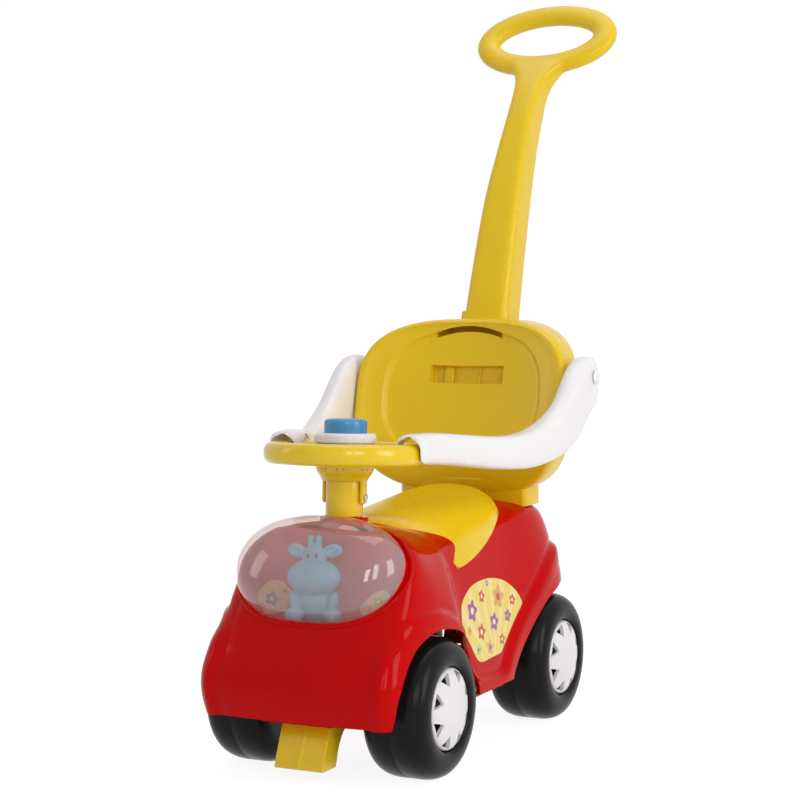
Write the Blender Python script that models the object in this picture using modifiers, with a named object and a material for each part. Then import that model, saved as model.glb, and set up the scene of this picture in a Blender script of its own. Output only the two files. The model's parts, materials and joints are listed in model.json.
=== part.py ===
"""A child's ride-on car with a push handle, modelled piece by piece at its real size.

The car faces -Y, +X is its left side and +Z is up. Lengths are in metres. The pieces are modelled in
the car's own frame, whose origin is on the ground below the middle of the wheelbase, and a parent
empty then moves them all so that the origin is at the middle of the finished car's footprint.
"""

import math

import bmesh
import bpy
from mathutils import Matrix, Vector

MM = 0.001

# Clearances
TOUCH_GAP = 0.3 * MM
RUNNING_GAP = 0.5 * MM
SCREW_GAP = 0.25 * MM
NUT_GAP = 0.4 * MM

# Screws: the shank's radius, for those into plastic posts and for the longer cross screws
SHANK_RADIUS = 1.9 * MM
CROSS_RADIUS = 2 * MM
SCREW_STEPS = 6

# Wheels
WHEELBASE = 313.5 * MM
WHEEL_RADIUS = 75 * MM
WHEEL_MIDDLE = 95 * MM
TYRE_HALF_WIDTH = 37.3 * MM
WHEEL_STEPS = 20
AXLE_RADIUS = 4 * MM
BUSH_RADIUS = 8.5 * MM
BUSH_INNER_END = 40.5 * MM
CAP_RADIUS = 43.3 * MM
CAP_RECESS = 22 * MM
CAP_CROWN = 43 * MM
CAP_WALL = 2.6 * MM
CAP_WINDOWS = 8
WINDOW_TOP_RADIUS = 27.5 * MM
WINDOW_BASE_RADIUS = 40 * MM
WINDOW_BASE_WIDTH = 18 * MM
NUT_RADIUS = 6.5 * MM
NUT_LENGTH = 6 * MM
AXLE_END = 3.5 * MM

# The wheelbase and the axle height that the lines of the body below were drawn for
DRAWN_WHEELBASE = 313.5 * MM
DRAWN_AXLE_HEIGHT = 75 * MM
STRETCH_FROM = -60 * MM
STRETCH_TO = 20 * MM


def lengthways(y):
    """Where a place drawn at Y lies: both ends follow their axle, the sill between them stretches."""
    shift = (WHEELBASE - DRAWN_WHEELBASE) / 2
    share = (y - STRETCH_FROM) / (STRETCH_TO - STRETCH_FROM)
    return y + shift * (2 * min(max(share, 0), 1) - 1)


# Steering
STEERING_TILT = math.radians(3.4)
TUBE_RADIUS = 20.2 * MM
TUBE_NECK_RADIUS = 15 * MM
TUBE_WALL = 2.5 * MM
COLLAR_TOP = 196 * MM
TUBE_TOP = 243 * MM
COLUMN_SCREW_HEIGHT = COLLAR_TOP + 21 * MM
YOKE_HUB_RADIUS = 19 * MM
YOKE_HUB_TOP = 46 * MM
YOKE_SOCKET = 22 * MM
YOKE_HALF_WIDTH = 54 * MM
YOKE_HALF_DEPTH = 10.5 * MM
YOKE_SCREW_HEIGHT = 35 * MM
YOKE_RIB_TOP = 16 * MM
YOKE_RIB_HALF_WIDTH = 32 * MM
RING_RADIUS = 88 * MM
RING_BAND = 22 * MM
RING_BOTTOM = 252 * MM
RING_HEIGHT = 23 * MM
CUP_RADIUS = 33 * MM
CUP_WALL = 2.5 * MM
CUP_FOOT_RADIUS = 24.5 * MM
SPOKE_WIDTH = 26 * MM
SPOKE_ANGLES = (90, 215, 325)
HORN_BASE_RADIUS = 33.5 * MM
HORN_BASE_HEIGHT = 10 * MM
HORN_BUTTON_RADIUS = 23.2 * MM
HORN_BUTTON_RISE = 16 * MM
HORN_TRAVEL = 3 * MM

# Body shell
SHELL_WALL = 3 * MM
LIP_RISE = 5.2 * MM
ARCH_INNER = 50 * MM
LIP_INNER = 88 * MM
DOME_HALF_WIDTH = 100 * MM
DOME_HALF_LENGTH = 60.7 * MM
DOME_BULGE = 47 * MM
DOME_WALL = 1.8 * MM
DOME_CENTRE = (0, lengthways(-198.5 * MM), 217.5 * MM)
DOME_TILT = math.radians(56.4)
WELL_FLOOR = 163 * MM
WELL_BACK = lengthways(-174 * MM)
WELL_WALL = 2.4 * MM
COLLAR_RADIUS = 26 * MM
LUG_SIZE = 15 * MM

# Where the pieces are screwed to each other, as X, Y pairs
LUG_PLACES = [(sign * 106 * MM, lengthways(y * MM)) for sign in (1, -1) for y in (-44, 8)]
SEAT_SCREWS = [(0, lengthways(y * MM)) for y in (-52, 66)]
SEAT_POST_HEIGHTS = (24 * MM, 31 * MM)
BACK_SCREWS = [(sign * 52 * MM, lengthways(176 * MM)) for sign in (1, -1)]
FOOT_SCREWS = [(sign * 14 * MM, lengthways(-228 * MM)) for sign in (1, -1)]

# Underbody, foot and toy
FLOOR_TOP = 69.7 * MM
FLOOR_THICKNESS = 3 * MM
TUNNEL_HALF_WIDTH = 42 * MM
BRIDGE_TOP = 129 * MM
BRACKET_FACE = 54 * MM
FOOT_HALF_WIDTH = 28.7 * MM
FOOT_BOTTOM = 18 * MM
TOY_PLACE = (-5 * MM, lengthways(-198 * MM), WELL_FLOOR + TOUCH_GAP)
TOY_TURN = math.radians(18)

# Seat, backrest, arms and handle
SEAT_WALL = 3 * MM
BACK_WALL = 3 * MM
SOCKET_WALL = 3.4 * MM
BACK_HALF_WIDTH = 149 * MM
PIVOT_HEIGHT = 408 * MM
PIVOT_Y = lengthways(170 * MM)
PIVOT_RADIUS = 5 * MM
PIN_START = 129 * MM
PIN_END = 167.3 * MM
BOSS_INNER = 128 * MM
BOSS_FACE = 150.3 * MM
POCKET_HALF_WIDTH = 49 * MM
POCKET_HALF_HEIGHT = 11 * MM
POCKET_DEPTH = 11.5 * MM
POCKET_WALL = 2 * MM
LOOP_CENTRE = (0, lengthways(427 * MM), 838 * MM)
LOOP_HALF_WIDTH = 82 * MM
LOOP_HALF_LENGTH = 44 * MM
LOOP_TUBE_WIDTH = 16 * MM
LOOP_TUBE_DEPTH = 10.5 * MM
LOOP_LEAN = math.radians(37)

# Materials: sRGB colour, roughness, metallic
FINISHES = {
    "red_plastic": ((200, 0, 0), 0.2, 0.0),
    "yellow_plastic": ((228, 196, 20), 0.35, 0.0),
    "white_plastic": ((238, 235, 232), 0.3, 0.0),
    "blue_plastic": ((60, 130, 180), 0.35, 0.0),
    "blue_vinyl": ((100, 160, 195), 0.5, 0.0),
    "black_plastic": ((28, 26, 26), 0.35, 0.0),
    "clear_plastic": ((215, 205, 205), 0.1, 0.0),
    "bright_steel": ((200, 200, 205), 0.3, 1.0),
    "green_board": ((40, 110, 60), 0.5, 0.0),
}


def to_linear(value):
    """One sRGB channel of 0 to 255 as a linear one of 0 to 1."""
    value = value / 255
    return value / 12.92 if value <= 0.04045 else ((value + 0.055) / 1.055) ** 2.4


def make_material(finish, name):
    colour, roughness, metallic = FINISHES[finish]
    material = bpy.data.materials.new(name)
    material.use_nodes = True
    shader = material.node_tree.nodes["Principled BSDF"]
    shader.inputs["Base Color"].default_value = [to_linear(c) for c in colour] + [1]
    shader.inputs["Roughness"].default_value = roughness
    shader.inputs["Metallic"].default_value = metallic
    return material


def clear_scene():
    for thing in list(bpy.data.objects):
        bpy.data.objects.remove(thing, do_unlink=True)


def new_collection(name):
    collection = bpy.data.collections.new(name)
    bpy.context.scene.collection.children.link(collection)
    return collection


clear_scene()
PARTS = new_collection("kids_ride_on_car")
CUTTERS = new_collection("cutters")
CAR_FRAME = bpy.data.objects.new("car_frame", None)
PARTS.objects.link(CAR_FRAME)

# The body rides on its axles, so it rises and falls with their height
BODY_FRAME = bpy.data.objects.new("body_frame", None)
PARTS.objects.link(BODY_FRAME)
BODY_FRAME.parent = CAR_FRAME
BODY_FRAME.location = (0, 0, WHEEL_RADIUS - DRAWN_AXLE_HEIGHT)


# Making and joining shapes

def add_part(name, mesh, finish, parent=BODY_FRAME):
    part = bpy.data.objects.new(name, mesh)
    mesh.materials.append(make_material(finish, name + "_" + finish))
    mesh.shade_smooth()
    mesh.set_sharp_from_angle(angle=math.radians(35))
    PARTS.objects.link(part)
    part.parent = parent
    return part


def add_tool(name, mesh, parent=BODY_FRAME):
    """A shape that only cuts or joins another, so it stays out of the model."""
    tool = bpy.data.objects.new(name, mesh)
    tool.hide_render = True
    tool.display_type = "WIRE"
    CUTTERS.objects.link(tool)
    tool.parent = parent
    return tool


def combine(target, tools, operation):
    for tool in tools:
        step = target.modifiers.new(tool.name, "BOOLEAN")
        step.operation = operation
        step.solver = "EXACT"
        step.object = tool
    return target


def mesh_from(build, name="shape"):
    """A mesh made by one function that works on a bmesh."""
    shape = bmesh.new()
    build(shape)
    mesh = bpy.data.meshes.new(name)
    shape.to_mesh(mesh)
    shape.free()
    return mesh


def box_mesh(low, high):
    size = Vector(high) - Vector(low)
    middle = (Vector(high) + Vector(low)) / 2

    def build(shape):
        bmesh.ops.create_cube(shape, size=1)
        bmesh.ops.scale(shape, vec=size, verts=shape.verts)
        bmesh.ops.translate(shape, vec=middle, verts=shape.verts)

    return mesh_from(build)


def rounded_box_mesh(low, high, radius, segments=2):
    size = Vector(high) - Vector(low)
    middle = (Vector(high) + Vector(low)) / 2

    def build(shape):
        bmesh.ops.create_cube(shape, size=1)
        bmesh.ops.scale(shape, vec=size, verts=shape.verts)
        bmesh.ops.bevel(shape, geom=shape.edges[:], offset=radius, segments=segments,
                        profile=0.5, affect="EDGES")
        bmesh.ops.translate(shape, vec=middle, verts=shape.verts)

    return mesh_from(build)


AXIS_TURNS = {
    "X": Matrix.Rotation(math.pi / 2, 4, "Y"),
    "Y": Matrix.Rotation(-math.pi / 2, 4, "X"),
    "Z": Matrix.Identity(4),
}


OUTLINE_TURNS = {
    "X": Matrix(((0, 0, 1, 0), (1, 0, 0, 0), (0, 1, 0, 0), (0, 0, 0, 1))),
    "Y": Matrix(((1, 0, 0, 0), (0, 0, 1, 0), (0, 1, 0, 0), (0, 0, 0, 1))),
    "Z": Matrix.Identity(4),
}


def cylinder_mesh(radius, start, length, axis="Z", steps=20, end_radius=None):
    """A cylinder or cone that starts at a point and runs along an axis."""
    far = radius if end_radius is None else end_radius

    def build(shape):
        bmesh.ops.create_cone(shape, cap_ends=True, segments=steps, radius1=radius,
                              radius2=far, depth=length)
        half_step = Matrix.Rotation(math.pi / steps, 3, "Z")
        bmesh.ops.rotate(shape, matrix=half_step, verts=shape.verts)
        bmesh.ops.translate(shape, vec=(0, 0, length / 2), verts=shape.verts)
        bmesh.ops.transform(shape, matrix=AXIS_TURNS[axis], verts=shape.verts)
        bmesh.ops.translate(shape, vec=start, verts=shape.verts)

    return mesh_from(build)


def ball_mesh(centre, size, steps=14, rings=9):
    """An ellipsoid with the three half sizes given."""

    def build(shape):
        bmesh.ops.create_uvsphere(shape, u_segments=steps, v_segments=rings, radius=1)
        bmesh.ops.scale(shape, vec=size, verts=shape.verts)
        bmesh.ops.translate(shape, vec=centre, verts=shape.verts)

    return mesh_from(build)


def profile_mesh(points, phase=0.0):
    """A chain of radius and height pairs, for a Screw modifier; equal ends make it a loop."""
    mesh = bpy.data.meshes.new("profile")
    loop = points[0] == points[-1]
    if loop:
        points = points[:-1]
    corners = [(r * math.cos(phase), r * math.sin(phase), z) for r, z in points]
    edges = [(i, i + 1) for i in range(len(points) - 1)]
    if loop:
        edges.append((len(points) - 1, 0))
    mesh.from_pydata(corners, edges, [])
    return mesh


def turn_profile(part, steps):
    screw = part.modifiers.new("turned", "SCREW")
    screw.steps = steps
    screw.render_steps = steps
    screw.use_merge_vertices = True
    screw.merge_threshold = 0.00001
    screw.use_smooth_shade = True
    return part


def outline_mesh(outline, low, high, axis="X"):
    """A flat outline with a thickness: of Y, Z pairs along X, of X, Y along Z or of X, Z along Y."""
    curve = bpy.data.curves.new("outline", "CURVE")
    curve.dimensions = "2D"
    curve.fill_mode = "BOTH"
    curve.extrude = (high - low) / 2
    line = curve.splines.new("POLY")
    line.points.add(len(outline) - 1)
    for point, (u, v) in zip(line.points, outline):
        point.co = (u, v, 0, 1)
    line.use_cyclic_u = True
    mesh = mesh_of_curve(curve)
    mesh.transform(OUTLINE_TURNS[axis] @ Matrix.Translation((0, 0, (low + high) / 2)))
    if axis == "Y":
        mesh.flip_normals()
    return mesh


def mesh_of_curve(curve):
    """A curve as a mesh with its caps welded on."""
    holder = bpy.data.objects.new("curve_holder", curve)
    bpy.context.scene.collection.objects.link(holder)
    evaluated = holder.evaluated_get(bpy.context.evaluated_depsgraph_get())
    mesh = bpy.data.meshes.new_from_object(evaluated)
    bpy.data.objects.remove(holder, do_unlink=True)
    shape = bmesh.new()
    shape.from_mesh(mesh)
    bmesh.ops.remove_doubles(shape, verts=shape.verts, dist=0.000001)
    bmesh.ops.recalc_face_normals(shape, faces=shape.faces)
    shape.to_mesh(mesh)
    shape.free()
    return mesh


def loft_mesh(rings, closed_ends=True, cyclic=True):
    """Rings of equally many points joined by quads, with the end rings filled."""
    count = len(rings[0])
    corners = [tuple(point) for ring in rings for point in ring]
    around = count if cyclic else count - 1
    faces = []
    for row in range(len(rings) - 1):
        for i in range(around):
            a, b = row * count + i, row * count + (i + 1) % count
            faces.append((a, b, b + count, a + count))
    if closed_ends:
        faces.append(tuple(range(count))[::-1])
        faces.append(tuple(range((len(rings) - 1) * count, len(rings) * count)))
    mesh = bpy.data.meshes.new("loft")
    mesh.from_pydata(corners, [], faces)
    shape = bmesh.new()
    shape.from_mesh(mesh)
    if closed_ends:
        bmesh.ops.recalc_face_normals(shape, faces=shape.faces)
    shape.to_mesh(mesh)
    shape.free()
    return mesh


def section(centre, side, forward, half_width, half_depth, power=4.0, count=16):
    """A rounded rectangle around a centre, in the plane of the side and forward directions."""
    centre, side, forward = Vector(centre), Vector(side), Vector(forward)
    ring = []
    for i in range(count):
        turn = 2 * math.pi * (i + 0.5) / count
        c, s = math.cos(turn), math.sin(turn)
        u = math.copysign(abs(c) ** (2 / power), c) * half_width
        v = math.copysign(abs(s) ** (2 / power), s) * half_depth
        ring.append(centre + side * u + forward * v)
    return ring


def subdivide(part, levels):
    step = part.modifiers.new("smooth", "SUBSURF")
    step.levels = levels
    step.render_levels = levels
    return part


def thicken(part, thickness, offset=-1.0):
    wall = part.modifiers.new("wall", "SOLIDIFY")
    wall.thickness = thickness
    wall.offset = offset
    wall.use_even_offset = True
    return part


def mirror_halves(part):
    halves = part.modifiers.new("halves", "MIRROR")
    halves.merge_threshold = 0.00005
    halves.use_clip = True
    return part


def side_sign(side):
    return 1 if side == "left" else -1


def add_screw(name, place, direction, length, radius=SHANK_RADIUS, head=4 * MM, parent=BODY_FRAME):
    """A pan head screw whose head's underside is at a place and whose shank runs along a direction."""
    profile = [(0, head * 0.6), (head, head * 0.3), (head, 0), (radius, 0), (radius, -length),
               (0, -length)]
    screw = add_part(name, profile_mesh(profile), "bright_steel", parent)
    turn_profile(screw, SCREW_STEPS)
    screw.location = place
    screw.rotation_euler = (-Vector(direction)).to_track_quat("Z", "Y").to_euler()
    return screw


# The lines of the red body: half breadths at a set of heights and stations, in millimetres

ROW_HEIGHTS = (70.5, 112, 165, 217, 240)
FRONT_LINE = (-265, -278, -238, -202, -185)
CORNER_BREADTH = (97, 108, 100, 107, 98)
CORNER_BACK = (4, 7, 7, 4, 4)
STATIONS = (-228, -180, -128, -101, -89, 40, 105, 150, 188)
HALF_BREADTHS = (
    (113, 117.5, 118, 117.5, 116.5, 116, 117, 113, 102),
    (119, 123.5, 122.5, 121.5, 111, 110, 119.5, 120, 111),
    (113, 122, 121.5, 119, 106, 106, 118.5, 124, 119),
    (108, 106, 102, 100, 96.5, 96, 102, 106, 101),
    (98, 92.5, 87, 84.5, 82, 82, 91, 96, 92),
)
REAR_LINE = (206, 221, 228, 221, 218)
REAR_BREADTH = (84, 88, 91, 86, 80)
SHOULDER_BREADTH = (68, 76, 69, 63, 60.5, 58.5, 59, 77, 88, 82, 62)
SHOULDER_HEIGHT = (256, 257, 257, 256.5, 254.5, 252.5, 248, 254.5, 258, 257, 254)
SHOULDER_Y = (-171, -157, -139, -119, -102, -89, 40, 105, 150, 188, 204)
TOP_HEIGHT = (268, 268, 265.5, 262.5, 259.5, 257, 252.5, 258.5, 262, 261, 257)
TOP_Y = (-165, -156, -139, -119, -102, -89, 40, 105, 150, 188, 206)
BLEND_STATION = -110


def body_rows():
    """Rows of points from the sill up to the centre line, each from the front to the rear."""
    rows = []
    for row, height in enumerate(ROW_HEIGHTS):
        front, corner = FRONT_LINE[row], CORNER_BREADTH[row]
        points = [(0, front), (corner * 0.55, front + 1), (corner, front + CORNER_BACK[row])]
        shrink = (BLEND_STATION - front) / (BLEND_STATION - min(FRONT_LINE))
        for station, breadth in zip(STATIONS, HALF_BREADTHS[row]):
            if station < BLEND_STATION:
                station = BLEND_STATION - (BLEND_STATION - station) * shrink
            points.append((breadth, station))
        rear = REAR_LINE[row]
        points += [(REAR_BREADTH[row], rear - 11), (REAR_BREADTH[row] * 0.5, rear - 1), (0, rear)]
        rows.append([(x, y, height) for x, y in points])
    rows.append(deck_row(1.0, 0.0))
    rows.append(deck_row(0.0, 1.0))
    return rows


def deck_row(breadth_share, rise_share):
    """A row of the deck between its shoulder, at share 1 of the breadth, and the centre line."""
    points = []
    for i, breadth in enumerate(SHOULDER_BREADTH):
        x = breadth * breadth_share
        y = SHOULDER_Y[i] * breadth_share + TOP_Y[i] * (1 - breadth_share)
        z = SHOULDER_HEIGHT[i] * (1 - rise_share) + TOP_HEIGHT[i] * rise_share
        points.append((x, y, z))
    front, rear = points[0], points[-1]
    front_points = [(0, front[1], front[2]), (front[0] * 0.55, front[1], front[2])]
    rear_points = [(rear[0] * 0.5, rear[1] + 5 * breadth_share, rear[2]),
                   (0, rear[1] + 6 * breadth_share, rear[2])]
    return front_points + points + rear_points


def body_cage_mesh(capped=False):
    """The left half of the body's outer surface, open at the centre plane and, unless capped, below."""
    rows = body_rows()
    count = len(rows[0])
    corners = [(x * MM, lengthways(y * MM), z * MM) for row in rows for x, y, z in row]
    faces = []
    for row in range(len(rows) - 1):
        for i in range(count - 1):
            a = row * count + i
            faces.append((a, a + 1, a + 1 + count, a + count))
    if capped:
        faces.append(tuple(range(count))[::-1])
    mesh = bpy.data.meshes.new("body_cage")
    mesh.from_pydata(corners, [], faces)
    shape = bmesh.new()
    shape.from_mesh(mesh)
    bmesh.ops.remove_doubles(shape, verts=shape.verts, dist=0.00001)
    shape.to_mesh(mesh)
    shape.free()
    return mesh


def add_body_skin(name, inward, outward):
    """The body's surface given a thickness, as a tool that joins other pieces."""
    skin = add_tool(name, body_cage_mesh())
    mirror_halves(skin)
    subdivide(skin, 1)
    total = inward + outward
    thicken(skin, total, offset=(outward - inward) / total)
    return skin


def add_body_block(name, grow):
    """The body as a solid that is a little larger than the shell, to cut what stands on it."""
    block = add_tool(name, body_cage_mesh(capped=True))
    mirror_halves(block)
    subdivide(block, 1)
    swell = block.modifiers.new("swell", "DISPLACE")
    swell.strength = grow
    swell.mid_level = 0
    return block


# Wheels

def add_wheel(name, side, parent, place):
    """A tyre, its bush and its hub cap, all turned about the axle, with local Z pointing outwards."""
    turn = (0, side_sign(side) * math.pi / 2, 0)
    flat = 1 / math.cos(math.pi / WHEEL_STEPS)
    bore = BUSH_RADIUS + TOUCH_GAP
    recess = CAP_RECESS
    edge = TYRE_HALF_WIDTH
    tread = WHEEL_RADIUS * flat
    profile = [
        (bore, recess), (CAP_RADIUS + TOUCH_GAP, recess), (CAP_RADIUS + 2 * MM, edge - 1 * MM),
        (61 * MM, edge), (69.5 * MM, edge - 5 * MM), (tread, edge - 23 * MM), (tread, 23 * MM - edge),
        (69.5 * MM, 5 * MM - edge), (50 * MM, -edge), (24 * MM, 1 * MM - edge), (bore, 1 * MM - edge),
        (bore, recess),
    ]
    tyre = add_part("tyre_" + name, profile_mesh(profile, math.pi / WHEEL_STEPS), "black_plastic", parent)
    turn_profile(tyre, WHEEL_STEPS)

    axle_bore = AXLE_RADIUS + 2 * SCREW_GAP
    flange = -edge + 1 * MM - TOUCH_GAP
    bush_profile = [
        (axle_bore, recess), (BUSH_RADIUS, recess), (BUSH_RADIUS, flange), (12 * MM, flange),
        (12 * MM, -BUSH_INNER_END), (axle_bore, -BUSH_INNER_END), (axle_bore, recess),
    ]
    bush = add_part("bush_" + name, profile_mesh(bush_profile), "white_plastic", parent)
    turn_profile(bush, 10)

    rim_foot = recess + TOUCH_GAP
    crown, wall = CAP_CROWN, CAP_WALL
    cap_profile = [
        (0, crown), (26 * MM, crown - 2.4 * MM), (CAP_RADIUS - 2.9 * MM, crown - 6.4 * MM),
        (CAP_RADIUS, crown - 9.5 * MM),
        (CAP_RADIUS, rim_foot), (CAP_RADIUS - wall, rim_foot), (CAP_RADIUS - wall, crown - 11 * MM),
        (0, crown - 2 * MM - wall),
    ]
    cap = add_part("hub_cap_" + name, profile_mesh(cap_profile, math.pi / WHEEL_STEPS), "white_plastic",
                   parent)
    turn_profile(cap, WHEEL_STEPS)
    combine(cap, [window_cutters(name, parent, place, turn)], "DIFFERENCE")
    for piece in (tyre, bush, cap):
        piece.location = place
        piece.rotation_euler = turn
    return tyre


def window_cutters(name, parent, place, turn):
    """The ring of triangular prisms that opens the hub cap near its rim."""
    def build(shape):
        for i in range(CAP_WINDOWS):
            angle = 2 * math.pi * (i + 0.5) / CAP_WINDOWS
            corners = [(WINDOW_TOP_RADIUS, 0), (WINDOW_BASE_RADIUS, -WINDOW_BASE_WIDTH / 2),
                       (WINDOW_BASE_RADIUS, WINDOW_BASE_WIDTH / 2)]
            base = [shape.verts.new((x, y, CAP_RECESS + 4.5 * MM)) for x, y in corners]
            face = shape.faces.new(base)
            raised = bmesh.ops.extrude_face_region(shape, geom=[face])["geom"]
            raised = [v for v in raised if isinstance(v, bmesh.types.BMVert)]
            bmesh.ops.translate(shape, vec=(0, 0, 25 * MM), verts=raised)
            bmesh.ops.rotate(shape, matrix=Matrix.Rotation(angle, 3, "Z"), verts=base + raised)
        bmesh.ops.recalc_face_normals(shape, faces=shape.faces)

    tool = add_tool("windows_" + name, mesh_from(build), parent)
    tool.location = place
    tool.rotation_euler = turn
    return tool


def add_axle(name, parent, place):
    reach = WHEEL_MIDDLE + CAP_RECESS + AXLE_END
    axle = add_part(name, cylinder_mesh(AXLE_RADIUS, (-reach, 0, 0), 2 * reach, "X", 12),
                    "bright_steel", parent)
    axle.location = place
    for side in ("left", "right"):
        start = CAP_RECESS + TOUCH_GAP
        top = start + NUT_LENGTH
        inner = AXLE_RADIUS + NUT_GAP
        profile = [(0, top), (NUT_RADIUS, top - 2 * MM), (NUT_RADIUS, start), (inner, start),
                   (inner, top - 1.6 * MM), (0, top - 1.6 * MM)]
        nut = add_part(name.replace("axle", "nut") + "_" + side, profile_mesh(profile),
                       "bright_steel", parent)
        turn_profile(nut, 10)
        nut.location = Vector(place) + Vector((side_sign(side) * WHEEL_MIDDLE, 0, 0))
        nut.rotation_euler = (0, side_sign(side) * math.pi / 2, 0)
    return axle


# Steering, in a frame whose origin is the middle of the front axle and whose Z is the steering axis

STEERING = bpy.data.objects.new("steering_axis", None)
PARTS.objects.link(STEERING)
STEERING.parent = CAR_FRAME
STEERING.location = (0, -WHEELBASE / 2, WHEEL_RADIUS)
STEERING.rotation_euler = (-STEERING_TILT, 0, 0)

FRONT_HUB = bpy.data.objects.new("front_wheel_axis", None)
PARTS.objects.link(FRONT_HUB)
FRONT_HUB.parent = STEERING
FRONT_HUB.rotation_euler = (STEERING_TILT, 0, 0)


def add_steering():
    yoke = add_part("steering_yoke", rounded_box_mesh(
        (-YOKE_HALF_WIDTH, -YOKE_HALF_DEPTH, -YOKE_HALF_DEPTH),
        (YOKE_HALF_WIDTH, YOKE_HALF_DEPTH, YOKE_HALF_DEPTH), 3 * MM, 1), "black_plastic", STEERING)
    hub = add_tool("yoke_hub", cylinder_mesh(YOKE_HUB_RADIUS, (0, 0, -8 * MM), YOKE_HUB_TOP + 8 * MM,
                                             steps=20), STEERING)
    combine(yoke, [hub], "UNION")
    rib = add_tool("yoke_rib", box_mesh((-YOKE_RIB_HALF_WIDTH, -0.5 * YOKE_HALF_DEPTH, 0),
                                        (YOKE_RIB_HALF_WIDTH, 0.5 * YOKE_HALF_DEPTH, YOKE_RIB_TOP)),
                   STEERING)
    combine(yoke, [rib], "UNION")
    socket = add_tool("yoke_socket", cylinder_mesh(
        TUBE_NECK_RADIUS + RUNNING_GAP, (0, 0, YOKE_SOCKET), YOKE_HUB_TOP, steps=20), STEERING)
    bore = add_tool("yoke_bore", cylinder_mesh(
        AXLE_RADIUS + SCREW_GAP, (-60 * MM, 0, 0), 120 * MM, "X", 12), STEERING)
    pin_hole = add_tool("yoke_pin_hole", cylinder_mesh(
        CROSS_RADIUS + SCREW_GAP, (0, -30 * MM, YOKE_SCREW_HEIGHT), 60 * MM, "Y", 8), STEERING)
    combine(yoke, [socket, bore, pin_hole], "DIFFERENCE")

    foot = YOKE_SOCKET + TOUCH_GAP
    shoulder = COLLAR_TOP + TOUCH_GAP
    top = TUBE_TOP
    wall = TUBE_WALL
    profile = [
        (TUBE_RADIUS - wall, top), (TUBE_RADIUS, top), (TUBE_RADIUS, shoulder),
        (TUBE_NECK_RADIUS, shoulder), (TUBE_NECK_RADIUS, foot), (TUBE_NECK_RADIUS - wall, foot),
        (TUBE_NECK_RADIUS - wall, shoulder + 2 * MM), (TUBE_RADIUS - wall, shoulder + 6 * MM),
        (TUBE_RADIUS - wall, top),
    ]
    tube = add_part("steering_tube", profile_mesh(profile), "yellow_plastic", STEERING)
    turn_profile(tube, 20)
    wheel_hole = add_tool("column_screw_hole", cylinder_mesh(
        CROSS_RADIUS + SCREW_GAP, (-40 * MM, 0, COLUMN_SCREW_HEIGHT), 80 * MM, "X", 8), STEERING)
    combine(tube, [pin_hole, wheel_hole], "DIFFERENCE")
    add_screw("yoke_screw", (0, -YOKE_HUB_RADIUS - TOUCH_GAP, YOKE_SCREW_HEIGHT), (0, 1, 0), 34 * MM,
              CROSS_RADIUS, 4.4 * MM, STEERING)
    add_steering_wheel(wheel_hole)
    add_axle("front_axle", STEERING, (0, 0, 0))
    add_horn()


def add_steering_wheel(screw_hole):
    low, high = RING_BOTTOM, RING_BOTTOM + RING_HEIGHT
    outer, inner = RING_RADIUS, RING_RADIUS - RING_BAND
    ring_profile = [
        (inner + 3 * MM, high), (outer - 5 * MM, high), (outer, high - 7 * MM), (outer, low + 7 * MM),
        (outer - 5 * MM, low), (inner + 5 * MM, low), (inner, low + 7 * MM), (inner, high - 5 * MM),
        (inner + 3 * MM, high),
    ]
    wheel = add_part("steering_wheel", profile_mesh(ring_profile), "yellow_plastic", STEERING)
    turn_profile(wheel, 28)
    socket = TUBE_RADIUS + TOUCH_GAP
    floor = TUBE_TOP + TOUCH_GAP
    cup_foot = TUBE_TOP - 9 * MM
    cup_profile = [
        (CUP_RADIUS - CUP_WALL, high), (CUP_RADIUS, high), (CUP_RADIUS, low), (28 * MM, low - 12 * MM),
        (CUP_FOOT_RADIUS, cup_foot), (socket, cup_foot), (socket, floor), (6 * MM, floor),
        (6 * MM, floor + 3 * MM), (CUP_RADIUS - CUP_WALL, floor + 3 * MM), (CUP_RADIUS - CUP_WALL, high),
    ]
    cup = add_tool("wheel_cup", profile_mesh(cup_profile), STEERING)
    turn_profile(cup, 20)
    spokes = []
    for i, angle in enumerate(SPOKE_ANGLES):
        spoke = add_tool(f"spoke_{i}", rounded_box_mesh(
            (CUP_RADIUS - 2 * MM, -SPOKE_WIDTH / 2, low + 4 * MM),
            (inner + 6 * MM, SPOKE_WIDTH / 2, high - 6 * MM), 3 * MM, 1), STEERING)
        spoke.rotation_euler = (0, 0, math.radians(angle))
        spokes.append(spoke)
    lug_low, lug_high = COLUMN_SCREW_HEIGHT - 7 * MM, cup_foot + 3 * MM
    lug_face = CUP_FOOT_RADIUS + 0.6 * MM
    lugs = []
    for side in ("left", "right"):
        near, far = sorted((side_sign(side) * socket, side_sign(side) * lug_face))
        lugs.append(add_tool("wheel_lug_" + side, box_mesh((near, -6 * MM, lug_low),
                                                           (far, 6 * MM, lug_high)), STEERING))
    combine(wheel, [cup] + spokes + lugs, "UNION")
    combine(wheel, [screw_hole], "DIFFERENCE")
    add_screw("column_screw", (lug_face + TOUCH_GAP, 0, COLUMN_SCREW_HEIGHT), (-1, 0, 0),
              44 * MM, CROSS_RADIUS, 4 * MM, STEERING)


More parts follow.
